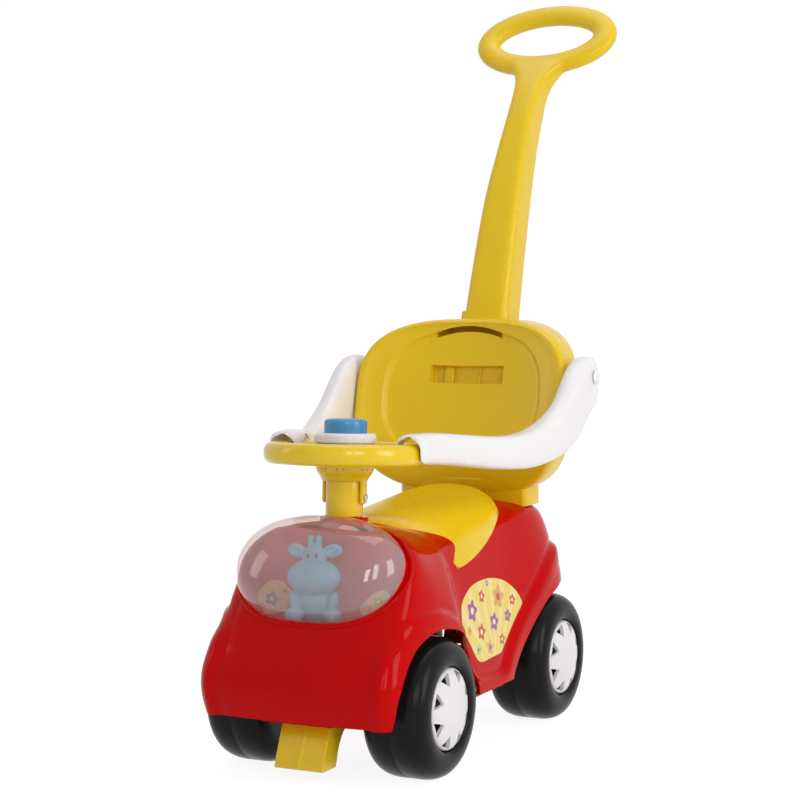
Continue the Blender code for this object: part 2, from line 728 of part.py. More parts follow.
def add_horn():
    seat = RING_BOTTOM + RING_HEIGHT + TOUCH_GAP
    top = seat + HORN_BASE_HEIGHT
    skirt = CUP_RADIUS - CUP_WALL - TOUCH_GAP
    well = HORN_BUTTON_RADIUS + RUNNING_GAP
    floor = top - 8 * MM
    skirt_foot = seat - 5 * MM
    base_profile = [
        (well, top), (HORN_BASE_RADIUS - 2 * MM, top), (HORN_BASE_RADIUS, top - 2 * MM),
        (HORN_BASE_RADIUS, seat), (skirt, seat), (skirt, skirt_foot), (5 * MM, skirt_foot), (5 * MM, floor),
        (well, floor), (well, top),
    ]
    base = add_part("horn_base", profile_mesh(base_profile), "white_plastic", STEERING)
    turn_profile(base, 20)
    head = top + HORN_BUTTON_RISE
    foot = floor + HORN_TRAVEL + 0.7 * MM
    radius = HORN_BUTTON_RADIUS
    stem = 4 * MM
    stem_foot = floor - 1.2 * MM
    button_profile = [
        (0, head), (radius - 5 * MM, head), (radius - 1.2 * MM, head - 1.4 * MM),
        (radius, head - 4 * MM), (radius, foot), (radius - 2.4 * MM, foot),
        (radius - 2.4 * MM, head - 3.4 * MM), (stem, head - 3.4 * MM), (stem, stem_foot), (0, stem_foot),
    ]
    button = add_part("horn_button", profile_mesh(button_profile), "blue_plastic", STEERING)
    turn_profile(button, 16)
    board_top = skirt_foot - TOUCH_GAP
    board = add_part("sound_board", cylinder_mesh(
        skirt - 0.6 * MM, (0, 0, board_top - 1.6 * MM), 1.6 * MM, steps=20), "green_board", STEERING)
    buzzer = add_tool("buzzer", cylinder_mesh(9 * MM, (8 * MM, 0, board_top - 6 * MM), 5 * MM, steps=12),
                      STEERING)
    combine(board, [buzzer], "UNION")
    spring_low = floor + TOUCH_GAP
    spring_high = head - 3.4 * MM - HORN_TRAVEL - 0.6 * MM
    add_part("horn_spring", spring_mesh(7.5 * MM, 0.6 * MM, spring_low, spring_high, 3),
             "bright_steel", STEERING)


def spring_mesh(radius, wire, low, high, turns, per_turn=7):
    curve = bpy.data.curves.new("spring", "CURVE")
    curve.dimensions = "3D"
    curve.bevel_depth = wire
    curve.bevel_resolution = 0
    curve.use_fill_caps = True
    line = curve.splines.new("POLY")
    count = turns * per_turn
    line.points.add(count)
    for i, point in enumerate(line.points):
        angle = 2 * math.pi * i / per_turn
        height = low + wire + (high - low - 2 * wire) * i / count
        point.co = (radius * math.cos(angle), radius * math.sin(angle), height, 1)
    return mesh_of_curve(curve)


# Red body shell

ARCH_FRONT = ((-262, 55), (-262, 98), (-256, 120), (-240, 141), (-212, 155), (-175, 160.5), (-140, 157),
              (-110, 146.5), (-85, 124.5), (-68, 97), (-63, 76), (-62, 55))
ARCH_REAR = ((24, 55), (31, 69), (52, 92), (78, 114), (104, 134), (128, 149), (150, 156), (176, 163),
             (205, 166), (265, 166), (265, 55))
BORDER_BAND = ((-262, 71.2), (-262, 100), (-259, 131), (-246, 155), (-222, 172), (-190, 180.5),
               (-158, 180), (-126, 170), (-100, 152), (-82, 130), (-70, 106), (-64, 92), (-50, 87),
               (8, 84), (22, 98), (44, 119), (68, 141), (104, 167), (140, 190), (179, 206), (196, 208),
               (196, 71.2))


def side_view(outline):
    """An outline drawn as Y, Z pairs in millimetres, fitted to the wheelbase."""
    return [(lengthways(y * MM), z * MM) for y, z in outline]


def mirrored_outline(outline, inner, outer):
    """Prisms of a side outline on both sides of the car, between two distances from the middle."""
    def build(shape):
        for low, high in ((inner, outer), (-outer, -inner)):
            shape.from_mesh(outline_mesh(side_view(outline), low, high))

    return mesh_from(build)


def on_dome(mesh):
    """A mesh in the dome's own frame, with X across, Y up the slope and Z out of the hood."""
    mesh.transform(Matrix.Translation(DOME_CENTRE) @ Matrix.Rotation(DOME_TILT, 4, "X"))
    return mesh


def oval_mesh(half_width, half_length, low, high, steps=28):
    def build(shape):
        bmesh.ops.create_cone(shape, cap_ends=True, segments=steps, radius1=1, radius2=1,
                              depth=high - low)
        half_step = Matrix.Rotation(math.pi / steps, 3, "Z")
        bmesh.ops.rotate(shape, matrix=half_step, verts=shape.verts)
        bmesh.ops.scale(shape, vec=(half_width, half_length, 1), verts=shape.verts)
        bmesh.ops.translate(shape, vec=(0, 0, (low + high) / 2), verts=shape.verts)

    return on_dome(mesh_from(build))


def add_body_shell():
    shell = add_part("body_shell", body_cage_mesh(), "red_plastic")
    mirror_halves(shell)
    subdivide(shell, 1)
    thicken(shell, SHELL_WALL)

    lip = add_body_skin("border_lip", 1.2 * MM, LIP_RISE)
    combine(lip, [add_tool("border_band", mirrored_outline(BORDER_BAND, LIP_INNER, 150 * MM))],
            "INTERSECT")
    well = add_tool("well_wall", oval_mesh(DOME_HALF_WIDTH + 1.2 * MM, DOME_HALF_LENGTH + 1.2 * MM,
                                           -75 * MM, 2 * MM))
    well_front = WELL_BACK - 126 * MM
    combine(well, [add_tool("well_block", box_mesh((-120 * MM, well_front, WELL_FLOOR - WELL_WALL),
                                                   (120 * MM, WELL_BACK + WELL_WALL, 300 * MM)))],
            "INTERSECT")
    collar = add_tool("collar", cylinder_mesh(COLLAR_RADIUS, (0, 0, COLLAR_TOP - 22 * MM), 22 * MM,
                                              steps=20), STEERING)
    lugs = [add_tool(f"screw_lug_{i}", box_mesh(
        (x - LUG_SIZE / 2, y - LUG_SIZE / 2, FLOOR_TOP + TOUCH_GAP),
        (x + LUG_SIZE / 2, y + LUG_SIZE / 2, FLOOR_TOP + 22 * MM))) for i, (x, y) in enumerate(LUG_PLACES)]
    combine(shell, [lip, well, collar] + lugs, "UNION")

    cavity = add_tool("well_cavity", oval_mesh(DOME_HALF_WIDTH - 4.4 * MM, DOME_HALF_LENGTH - 4.4 * MM,
                                               -75 * MM, 20 * MM))
    combine(cavity, [add_tool("cavity_block", box_mesh((-120 * MM, well_front, WELL_FLOOR),
                                                       (120 * MM, WELL_BACK, 300 * MM)))], "INTERSECT")
    rim_seat = add_tool("dome_seat", oval_mesh(DOME_HALF_WIDTH + 2 * MM, DOME_HALF_LENGTH + 2 * MM,
                                               -3 * TOUCH_GAP, 40 * MM))
    bore = add_tool("collar_bore", cylinder_mesh(TUBE_NECK_RADIUS + RUNNING_GAP, (0, 0, 60 * MM),
                                                 COLLAR_TOP, steps=16), STEERING)
    top_cut = add_tool("collar_face", cylinder_mesh(COLLAR_RADIUS + 3 * MM, (0, 0, COLLAR_TOP), 30 * MM,
                                                    steps=20), STEERING)
    arches = [add_tool("arch_front", mirrored_outline(ARCH_FRONT, ARCH_INNER, 150 * MM)),
              add_tool("arch_rear", mirrored_outline(ARCH_REAR, ARCH_INNER, 150 * MM))]
    holes = [add_tool(f"lug_hole_{i}", cylinder_mesh(SHANK_RADIUS + SCREW_GAP, (x, y, 60 * MM), 28 * MM,
                                                     steps=8)) for i, (x, y) in enumerate(LUG_PLACES)]
    holes += [add_tool(f"deck_hole_{i}", cylinder_mesh(SHANK_RADIUS + SCREW_GAP, (x, y, 235 * MM), 40 * MM,
                                                       steps=8))
              for i, (x, y) in enumerate(SEAT_SCREWS + BACK_SCREWS)]
    combine(shell, [cavity, rim_seat, bore, top_cut] + holes + arches, "DIFFERENCE")


# Underbody, foot, dome and toy

def add_underbody():
    half = TUNNEL_HALF_WIDTH
    low, top = FLOOR_TOP - FLOOR_THICKNESS, FLOOR_TOP
    sill = 113.5 * MM
    right = [(half, -254), (half, -62), (sill, -56), (sill, 18), (48 * MM, 30), (48 * MM, 200)]
    right = [(x, lengthways(y * MM)) for x, y in right]
    plan = right + [(-x, y) for x, y in reversed(right)]
    floor = add_part("underbody", outline_mesh(plan, low, top, "Z"), "red_plastic")
    opening_front, opening_rear = lengthways(-206 * MM), lengthways(-108 * MM)
    floor_opening = add_tool("floor_opening", box_mesh((-60 * MM, opening_front, low - 5 * MM),
                                                       (60 * MM, opening_rear, top + 5 * MM)))
    wall = FLOOR_THICKNESS
    bridge = BRIDGE_TOP
    hat = [(opening_rear, low), (opening_rear + wall, low), (opening_rear + wall, bridge),
           (opening_front - wall, bridge), (opening_front - wall, low), (opening_front, low),
           (opening_front, bridge - 5 * MM), (opening_rear, bridge - 5 * MM)]
    tunnel = add_tool("steering_tunnel", outline_mesh(hat, -half, half))
    bearing = add_tool("steering_bearing", cylinder_mesh(
        TUBE_NECK_RADIUS + 6 * MM, (0, 0, BRIDGE_TOP - DRAWN_AXLE_HEIGHT - 3.5 * MM), 16 * MM, steps=20),
        STEERING)
    bearing_bore = add_tool("bearing_bore", cylinder_mesh(
        TUBE_NECK_RADIUS + RUNNING_GAP, (0, 0, 30 * MM), 60 * MM, steps=16), STEERING)
    ribs = [add_tool("floor_rib_" + name, box_mesh(
        (x - 1.5 * MM, lengthways(-106 * MM), low + 1 * MM),
        (x + 1.5 * MM, lengthways(190 * MM), top + 8 * MM))) for name, x in (("left", 30 * MM),
                                                                            ("right", -30 * MM))]
    axle_y = WHEELBASE / 2
    brackets = []
    for name, sign in (("left", 1), ("right", -1)):
        outline = [(axle_y - 26 * MM, low + 1 * MM), (axle_y + 26 * MM, low + 1 * MM),
                   (axle_y + 26 * MM, 74 * MM), (axle_y + 12 * MM, 89 * MM),
                   (axle_y - 12 * MM, 89 * MM), (axle_y - 26 * MM, 74 * MM)]
        inner, outer = sorted((sign * 43 * MM, sign * 47.5 * MM))
        brackets.append(add_tool("axle_bracket_" + name, outline_mesh(outline, inner, outer)))
        boss_start = 44 * MM if sign > 0 else -BRACKET_FACE
        brackets.append(add_tool("axle_boss_" + name, cylinder_mesh(
            9.5 * MM, (boss_start, axle_y, DRAWN_AXLE_HEIGHT), BRACKET_FACE - 44 * MM, "X", 12)))
    axle_bore = add_tool("rear_axle_bore", cylinder_mesh(
        AXLE_RADIUS + SCREW_GAP, (-60 * MM, axle_y, DRAWN_AXLE_HEIGHT), 120 * MM, "X", 12))
    combine(floor, [floor_opening], "DIFFERENCE")
    combine(floor, [tunnel, bearing] + ribs + brackets, "UNION")
    screw_holes = [add_tool(f"floor_hole_{i}", cylinder_mesh(SHANK_RADIUS + SCREW_GAP, (x, y, 60 * MM),
                                                             30 * MM, steps=8))
                   for i, (x, y) in enumerate(LUG_PLACES + FOOT_SCREWS)]
    boss_trim = add_tool("boss_trim", box_mesh((-60 * MM, axle_y - 12 * MM, 55 * MM),
                                               (60 * MM, axle_y + 12 * MM, low)))
    combine(floor, [bearing_bore, axle_bore, boss_trim] + screw_holes, "DIFFERENCE")
    for i, (x, y) in enumerate(LUG_PLACES):
        name = ("left" if x > 0 else "right") + ("_front" if y < 0 else "_rear")
        add_screw("body_screw_" + name, (x, y, low - TOUCH_GAP), (0, 0, 1), 19 * MM)


def add_foot():
    top = FLOOR_TOP - FLOOR_THICKNESS - TOUCH_GAP
    side = [(-250, FOOT_BOTTOM + 2 * MM), (-248, FOOT_BOTTOM), (-222, FOOT_BOTTOM),
            (-220, FOOT_BOTTOM + 3 * MM), (-216, 36 * MM), (-207, 49 * MM), (-194, 57 * MM),
            (-180, 60.5 * MM), (-180, top), (-246, top)]
    side = [(lengthways(y * MM), z) for y, z in side]
    foot = add_part("anti_tip_foot", outline_mesh(side, -FOOT_HALF_WIDTH, FOOT_HALF_WIDTH),
                    "yellow_plastic")
    rib_side = [(-247, top - 2 * MM), (-248.2, top - 2 * MM), (-252, FOOT_BOTTOM + 4 * MM),
                (-247, FOOT_BOTTOM + 4 * MM)]
    rib = add_tool("foot_rib", outline_mesh([(lengthways(y * MM), z) for y, z in rib_side],
                                            -1.6 * MM, 1.6 * MM))
    combine(foot, [rib], "UNION")
    wall = 3 * MM
    hollow = add_tool("foot_hollow", box_mesh(
        (wall - FOOT_HALF_WIDTH, lengthways(-244 * MM), FOOT_BOTTOM + wall),
        (FOOT_HALF_WIDTH - wall, lengthways(-150 * MM), top - 8 * MM)))
    holes = [add_tool(f"foot_hole_{i}", cylinder_mesh(SHANK_RADIUS + SCREW_GAP, (x, y, top - 12 * MM),
                                                      20 * MM, steps=8))
             for i, (x, y) in enumerate(FOOT_SCREWS)]
    combine(foot, [hollow] + holes, "DIFFERENCE")
    for (x, y), name in zip(FOOT_SCREWS, ("left", "right")):
        add_screw("foot_screw_" + name, (x, y, FLOOR_TOP + TOUCH_GAP), (0, 0, -1), 10 * MM)


def add_dome():
    def build(shape):
        bmesh.ops.create_uvsphere(shape, u_segments=24, v_segments=10, radius=1)
        below = [v for v in shape.verts if v.co.z < -0.01]
        bmesh.ops.delete(shape, geom=below, context="VERTS")
        size = (DOME_HALF_WIDTH, DOME_HALF_LENGTH, DOME_BULGE)
        bmesh.ops.scale(shape, vec=size, verts=shape.verts)

    dome = add_part("dome", on_dome(mesh_from(build)), "clear_plastic")
    thicken(dome, DOME_WALL)


def add_toy():
    """A seated young animal with a wide muzzle, cupped ears and two knobs between them."""
    body = add_part("toy_animal", ball_mesh((0, 0, 19 * MM), (20 * MM, 15 * MM, 19.5 * MM), 8, 5),
                    "blue_vinyl")
    shapes = [
        ball_mesh((0, -4 * MM, 48 * MM), (27 * MM, 18 * MM, 16.5 * MM), 10, 6),
        ball_mesh((0, 0, 62 * MM), (20 * MM, 15 * MM, 17 * MM), 10, 6),
        cylinder_mesh(13 * MM, (0, 0, 28 * MM), 12 * MM, steps=8),
    ]
    for sign in (1, -1):
        shapes += [
            ball_mesh((sign * 21 * MM, 0, 71 * MM), (12 * MM, 5 * MM, 6.5 * MM), 6, 4),
            ball_mesh((sign * 6 * MM, 0, 79 * MM), (3.8 * MM, 3.8 * MM, 9 * MM), 6, 4),
            ball_mesh((sign * 20 * MM, -7 * MM, 21 * MM), (6 * MM, 7 * MM, 11 * MM), 6, 4),
            ball_mesh((sign * 12 * MM, -13 * MM, 8.5 * MM), (8 * MM, 11 * MM, 7.5 * MM), 6, 4),
        ]
    tools = [add_tool(f"toy_shape_{i}", mesh) for i, mesh in enumerate(shapes)]
    base = add_tool("toy_base", box_mesh((-60 * MM, -60 * MM, -20 * MM), (60 * MM, 60 * MM, 0)))
    combine(body, tools, "UNION")
    combine(body, [base], "DIFFERENCE")
    for piece in [body, base] + tools:
        piece.location = TOY_PLACE
        piece.rotation_euler = (0, 0, TOY_TURN)


# Seat

SEAT_LINES = (
    ((0, -99, 263.5), (14, -98, 263), (40, -87, 257), (80, -78, 237), (99, -70, 209.5)),
    ((0, -70, 265), (24, -69, 265), (56, -66, 258), (89, -60, 230), (100, -54, 211)),
    ((0, -15, 266.5), (28, -15, 266.6), (66, -15, 260), (91, -13, 233), (97, -11, 218)),
    ((0, 40, 269.5), (28, 40, 269.8), (64, 40, 264), (86, 40, 246), (90, 40, 232)),
    ((0, 85, 275.5), (26, 85, 275.5), (55, 85, 270.5), (74, 84, 259), (79, 84, 248)),
    ((0, 113, 282.5), (24, 113, 281), (47, 111, 275), (63, 109, 264), (68, 108, 254)),
    ((0, 133, 280), (22, 132.5, 278.5), (42, 129, 272), (55, 123, 262), (60, 121, 253)),
    ((0, 137, 250), (21, 136.5, 250), (38, 133.5, 249.5), (49, 128, 249), (54, 126, 248.5)),
)


def add_seat():
    """The saddle: half of its surface as rows of points from the middle outwards, front to rear."""
    rows = [[(x * MM, lengthways(y * MM), z * MM) for x, y, z in row] for row in SEAT_LINES]
    seat = add_part("seat", loft_mesh(rows, closed_ends=False, cyclic=False), "yellow_plastic")
    mirror_halves(seat)
    subdivide(seat, 1)
    thicken(seat, SEAT_WALL)
    posts = [add_tool(f"seat_post_{i}", cylinder_mesh(6 * MM, (x, y, 240 * MM), height, steps=10))
             for i, ((x, y), height) in enumerate(zip(SEAT_SCREWS, SEAT_POST_HEIGHTS))]
    holes = [add_tool(f"seat_hole_{i}", cylinder_mesh(SHANK_RADIUS + SCREW_GAP, (x, y, 235 * MM), 26.5 * MM,
                                                      steps=8)) for i, (x, y) in enumerate(SEAT_SCREWS)]
    combine(seat, posts, "UNION")
    combine(seat, [BODY_CUT] + holes, "DIFFERENCE")


# Backrest

PAD_CENTRE = (0, 393)
PAD_HALF = (101, 64)
POCKET_HEIGHT = 409.5
FACE_SLOPE = 0.23
OUTLINE_CENTRE = 392
OUTLINE_UP = 84
OUTLINE_DOWN = 121
BACK_COLUMNS = 26


def back_outline(turn, share=1.0):
    """A point of the backrest's outline in X and Z: full above its widest line, tapering below it."""
    c, s = math.cos(turn), math.sin(turn)
    power, half = (2.3, OUTLINE_UP) if s >= 0 else (3.0, OUTLINE_DOWN)
    x = math.copysign(abs(c) ** (2 / power), c) * BACK_HALF_WIDTH / MM
    z = math.copysign(abs(s) ** (2 / power), s) * half
    return x * share, OUTLINE_CENTRE + z * share


def back_face(x, z):
    """How far back the front face lies at a point of the backrest."""
    if z > 330:
        return 149 + FACE_SLOPE * (z - 330) - 0.0012 * x * x
    return 149 + 0.0033 * (330 - z) ** 2 - 0.0012 * x * x


def back_ring(share, push, pad_share=None):
    ring = []
    for i in range(BACK_COLUMNS):
        turn = 2 * math.pi * i / BACK_COLUMNS
        x, z = back_outline(turn, share)
        if pad_share is not None:
            x = PAD_CENTRE[0] + PAD_HALF[0] * pad_share * math.cos(turn)
            z = PAD_CENTRE[1] + PAD_HALF[1] * pad_share * math.sin(turn)
        extra = push(turn) if callable(push) else push
        ring.append((x * MM, lengthways((back_face(x, z) + extra) * MM), z * MM))
    return ring


def rim_depth(turn):
    """The side wall is deepest at the middle of the top, where the handle comes out."""
    return 43 + 17 * max(0.0, math.sin(turn)) ** 6


def backrest_cage_mesh():
    rings = [
        back_ring(1, 0, 0.35), back_ring(1, 0, 0.97), back_ring(1, -3.2, 1.04), back_ring(0.96, -3.5),
        back_ring(0.995, 3), back_ring(1.0, 11), back_ring(0.985, rim_depth),
    ]
    mesh = loft_mesh(rings, closed_ends=False)
    shape = bmesh.new()
    shape.from_mesh(mesh)
    bmesh.ops.contextual_create(shape, geom=[v for v in shape.verts if v.index < BACK_COLUMNS])
    bmesh.ops.recalc_face_normals(shape, faces=shape.faces)
    front = max(shape.faces, key=lambda face: face.calc_area() if len(face.verts) > 4 else 0)
    if front.normal.y > 0:
        bmesh.ops.reverse_faces(shape, faces=shape.faces)
    shape.to_mesh(mesh)
    shape.free()
    return mesh


HANDLE_LINE = (
    (212, 380, 28.5, 25.5), (228.5, 427, 28.7, 25.7), (245.6, 476, 29, 26), (270, 551, 27, 25),
    (297.5, 624, 24.3, 24), (330, 690, 20, 22.6), (355, 734, 18, 21.4), (378, 772, 18.4, 18.5),
    (390, 790, 25, 14), (401, 804, 34, 10),
)


def handle_rings(first, last, grow=0.0, power=6.0):
    """Sections of the handle's shaft, square to its line, grown by a clearance or a wall."""
    rings = []
    for i in range(first, last):
        y, z, half_width, half_depth = HANDLE_LINE[i]
        before, after = HANDLE_LINE[max(i - 1, 0)], HANDLE_LINE[min(i + 1, len(HANDLE_LINE) - 1)]
        along = Vector((0, after[0] - before[0], after[1] - before[1])).normalized()
        back = Vector((1, 0, 0)).cross(along) * -1
        rings.append(section((0, lengthways(y * MM), z * MM), (1, 0, 0), back, half_width * MM + grow,
                             half_depth * MM + grow, power, 8))
    return rings


def add_backrest():
    back = add_part("backrest", backrest_cage_mesh(), "yellow_plastic")
    thicken(back, BACK_WALL)
    pedestal = add_tool("pedestal", rounded_box_mesh((-84 * MM, lengthways(153 * MM), 248 * MM),
                                                     (84 * MM, lengthways(197 * MM), 287 * MM), 6 * MM, 1))
    socket = add_tool("handle_socket", loft_mesh(handle_rings(0, 3, SOCKET_WALL)))
    rib_outline = [(back_face(24, 388) + 1.5, 388), (212, 388), (212, 450), (back_face(24, 450) + 1.5, 450)]
    ribs = [add_tool("back_rib_" + name, outline_mesh(side_view(rib_outline), (x - 1.5) * MM, (x + 1.5) * MM))
            for name, x in (("left", 24), ("right", -24))]
    bosses = []
    for side in ("left", "right"):
        low, high = sorted((side_sign(side) * BOSS_INNER, side_sign(side) * BOSS_FACE))
        bosses.append(add_tool("pivot_boss_" + side, cylinder_mesh(
            12 * MM, (low, PIVOT_Y, PIVOT_HEIGHT), high - low, "X", 12)))
    across, up = POCKET_HALF_WIDTH + POCKET_WALL, POCKET_HALF_HEIGHT + POCKET_WALL
    pocket_wall = add_tool("pocket_wall", box_mesh((-across, -0.8 * MM, -up),
                                                   (across, POCKET_DEPTH + POCKET_WALL, up)))
    combine(back, [pedestal, socket, pocket_wall] + ribs + bosses, "UNION")
    hollow = add_tool("pedestal_hollow", rounded_box_mesh(
        (-80 * MM, lengthways(157 * MM), 240 * MM), (80 * MM, lengthways(193 * MM), 282 * MM), 4 * MM, 1))
    shaft_bore = add_tool("shaft_bore", loft_mesh(shaft_bore_rings()))
    pin_bore = add_tool("pivot_bore", cylinder_mesh(
        PIVOT_RADIUS + SCREW_GAP, (-170 * MM, PIVOT_Y, PIVOT_HEIGHT), 340 * MM, "X", 12))
    pocket = add_tool("pocket", rounded_box_mesh(
        (-POCKET_HALF_WIDTH, -20 * MM, -POCKET_HALF_HEIGHT),
        (POCKET_HALF_WIDTH, POCKET_DEPTH, POCKET_HALF_HEIGHT), 2 * MM, 1))
    for tool in (pocket_wall, pocket):
        tool.location = (0, lengthways(back_face(0, POCKET_HEIGHT) * MM), POCKET_HEIGHT * MM)
        tool.rotation_euler = (-math.atan(FACE_SLOPE), 0, 0)
    slot = add_tool("crescent_slot", outline_mesh(crescent(), lengthways(150 * MM), lengthways(190 * MM),
                                                  "Y"))
    combine(back, [hollow, shaft_bore, pin_bore, pocket, slot], "DIFFERENCE")
    posts = [add_tool(f"pedestal_post_{i}", cylinder_mesh(6 * MM, (x, y, 262.5 * MM), 22 * MM, steps=10))
             for i, (x, y) in enumerate(BACK_SCREWS)]
    combine(back, posts, "UNION")
    holes = [add_tool(f"pedestal_hole_{i}", cylinder_mesh(SHANK_RADIUS + SCREW_GAP, (x, y, 235 * MM),
                                                          42 * MM, steps=8))
             for i, (x, y) in enumerate(BACK_SCREWS)]
    combine(back, [HANDLE_HOLE] + holes + [BODY_CUT], "DIFFERENCE")


def shaft_bore_rings():
    rings = handle_rings(0, 3, RUNNING_GAP)
    along = (Vector(rings[2][0]) - Vector(rings[1][0])).normalized()
    rings[0] = [point + along * 3.4 * MM for point in rings[0]]
    rings[2] = [point + along * 30 * MM for point in rings[2]]
    return rings


def crescent():
    """The slot above the pad: an arc of even width."""
    outer, inner = [], []
    for i in range(7):
        turn = math.radians(62 + 56 * i / 6)
        outer.append((84 * math.cos(turn) * MM, (393 + 77 * math.sin(turn)) * MM))
        inner.append((84 * math.cos(turn) * MM, (393 + 70.5 * math.sin(turn)) * MM))
    return outer + inner[::-1]


# Guard arms

ARM_LINE = (
    ((158.8, 172, 438), 5.5, 10), ((158.8, 172, 434), 7.0, 17), ((158.8, 171, 424), 7.2, 23),
    ((158.8, 169, 405), 7.2, 26), ((158.8, 160, 378), 7.4, 25), ((160, 143, 352), 8.5, 22),
    ((158.2, 126, 343), 9, 20), ((151, 108, 336), 12, 19), ((137, 68, 330), 14, 18),
    ((122, 15, 328.5), 14.5, 18),
    ((107, -35, 333), 15, 18), ((94, -75, 338.5), 16, 17.5), ((84, -105, 342), 17.5, 17.5),
    ((77.5, -130, 343), 18.5, 17), ((77, -147, 343), 18, 16.5),
)


def add_arm(side):
    sign = side_sign(side)
    rings = []
    for i, (centre, half_width, half_height) in enumerate(ARM_LINE):
        before = Vector(ARM_LINE[max(i - 1, 0)][0])
        after = Vector(ARM_LINE[min(i + 1, len(ARM_LINE) - 1)][0])
        along = (after - before).normalized()
        across = (Vector((1, 0, 0)) - along * along.x).normalized()
        up = along.cross(across)
        x, y, z = (length * MM for length in centre)
        middle = Vector((x, lengthways(y) - PIVOT_Y, z - PIVOT_HEIGHT))
        ring = section(middle, across, up, half_width * MM, half_height * MM, 3.4, 10)
        rings.append([Vector((sign * p.x, p.y, p.z)) for p in ring])
    arm = add_part("arm_" + side, loft_mesh(rings), "white_plastic")
    arm.location = (0, PIVOT_Y, PIVOT_HEIGHT)
    pin_hole = add_tool("arm_bore_" + side, cylinder_mesh(
        PIVOT_RADIUS + SCREW_GAP, (-180 * MM, PIVOT_Y, PIVOT_HEIGHT), 360 * MM, "X", 12))
    combine(arm, [pin_hole, RING_CLEARANCE], "DIFFERENCE")
    start, end = PIN_START, PIN_END
    profile = [(0, end + 3 * MM), (6 * MM, end + 2.4 * MM), (9 * MM, end), (PIVOT_RADIUS, end),
               (PIVOT_RADIUS, start), (0, start)]
    pin = add_part("arm_pin_" + side, profile_mesh(profile), "white_plastic")
    turn_profile(pin, 10)
    pin.location = (0, PIVOT_Y, PIVOT_HEIGHT)
    pin.rotation_euler = (0, sign * math.pi / 2, 0)


def ring_clearance_tool():
    """The space that the steering ring needs below the front ends of the arms."""
    gap = 3.7 * MM
    outer, inner = RING_RADIUS + gap, RING_RADIUS - RING_BAND - gap
    top, low = RING_BOTTOM + RING_HEIGHT + 3 * MM, RING_BOTTOM - 30 * MM
    middle = (outer + inner) / 2
    profile = [(inner, top - 5 * MM), (inner + 5 * MM, top), (middle, top + 1 * MM), (outer - 5 * MM, top),
               (outer, top - 5 * MM), (outer, low), (inner, low), (inner, top - 5 * MM)]
    return turn_profile(add_tool("ring_clearance", profile_mesh(profile), STEERING), 36)


# Push handle

def loop_mesh():
    """The oval grip, as sections set square to an oval path in a plane that leans back."""
    across = Vector((1, 0, 0))
    up = Vector((0, math.sin(LOOP_LEAN), math.cos(LOOP_LEAN)))
    back = across.cross(up) * -1
    rings = []
    count = 24
    for i in range(count):
        turn = 2 * math.pi * i / count
        centre = (Vector(LOOP_CENTRE) + across * LOOP_HALF_WIDTH * math.cos(turn)
                  + up * LOOP_HALF_LENGTH * math.sin(turn))
        outward = (across * math.cos(turn) / LOOP_HALF_WIDTH + up * math.sin(turn) / LOOP_HALF_LENGTH)
        width = LOOP_TUBE_WIDTH - 1.5 * MM * abs(math.sin(turn))
        rings.append(section(centre, outward.normalized(), back, width, LOOP_TUBE_DEPTH, 2.4, 8))
    rings.append(rings[0])
    mesh = loft_mesh(rings, closed_ends=False)
    shape = bmesh.new()
    shape.from_mesh(mesh)
    bmesh.ops.remove_doubles(shape, verts=shape.verts, dist=0.000001)
    bmesh.ops.recalc_face_normals(shape, faces=shape.faces)
    shape.to_mesh(mesh)
    shape.free()
    return mesh


def handle_screw_line():
    """The middle of the shaft where its screw crosses it, and the direction towards the rear."""
    shaft = Vector((0, HANDLE_LINE[2][0] - HANDLE_LINE[0][0], HANDLE_LINE[2][1] - HANDLE_LINE[0][1]))
    shaft = shaft.normalized()
    place = Vector((0, lengthways(HANDLE_LINE[1][0] * MM), HANDLE_LINE[1][1] * MM))
    return place, Vector((0, shaft.z, -shaft.y))


def handle_screw_tool():
    place, back = handle_screw_line()
    hole = add_tool("handle_screw_hole", cylinder_mesh(CROSS_RADIUS + SCREW_GAP, (0, 0, 0), 60 * MM,
                                                       steps=8))
    hole.location = place
    hole.rotation_euler = back.to_track_quat("Z", "Y").to_euler()
    return hole


def add_handle():
    rings = handle_rings(0, len(HANDLE_LINE))
    along = (Vector(rings[2][0]) - Vector(rings[1][0])).normalized()
    rings[0] = [point + along * 3.8 * MM for point in rings[0]]
    handle = add_part("push_handle", loft_mesh(rings), "yellow_plastic")
    combine(handle, [add_tool("grip_loop", loop_mesh())], "UNION")
    combine(handle, [HANDLE_HOLE], "DIFFERENCE")
    place, back = handle_screw_line()
    head = place + back * (HANDLE_LINE[1][3] * MM + SOCKET_WALL + TOUCH_GAP)
    add_screw("handle_screw", head, -back, 24 * MM, CROSS_RADIUS, 4.5 * MM)


def add_deck_screws():
    for i, (x, y) in enumerate(SEAT_SCREWS):
        add_screw("seat_screw_" + ("front", "rear")[i], (x, y, 243 * MM), (0, 0, 1), 16 * MM)
    for i, (x, y) in enumerate(BACK_SCREWS):
        add_screw("backrest_screw_" + ("left", "right")[i], (x, y, 253 * MM), (0, 0, 1), 20 * MM)


def centre_on_origin():
    """Moves the whole car so that the middle of its footprint is on the origin, to a millimetre."""
    bpy.context.view_layer.update()
    depsgraph = bpy.context.evaluated_depsgraph_get()
    low, high = Vector((9, 9, 9)), Vector((-9, -9, -9))
    for part in PARTS.objects:
        if part.type != "MESH":
            continue
        evaluated = part.evaluated_get(depsgraph)
        for vertex in evaluated.data.vertices:
            place = evaluated.matrix_world @ vertex.co
            low = Vector(map(min, low, place))
            high = Vector(map(max, high, place))
    middle = (low + high) / 2
    CAR_FRAME.location = (0, -round(middle.y / MM) * MM, 0)


BODY_CUT = add_body_block("body_block", TOUCH_GAP)
RING_CLEARANCE = ring_clearance_tool()
HANDLE_HOLE = handle_screw_tool()

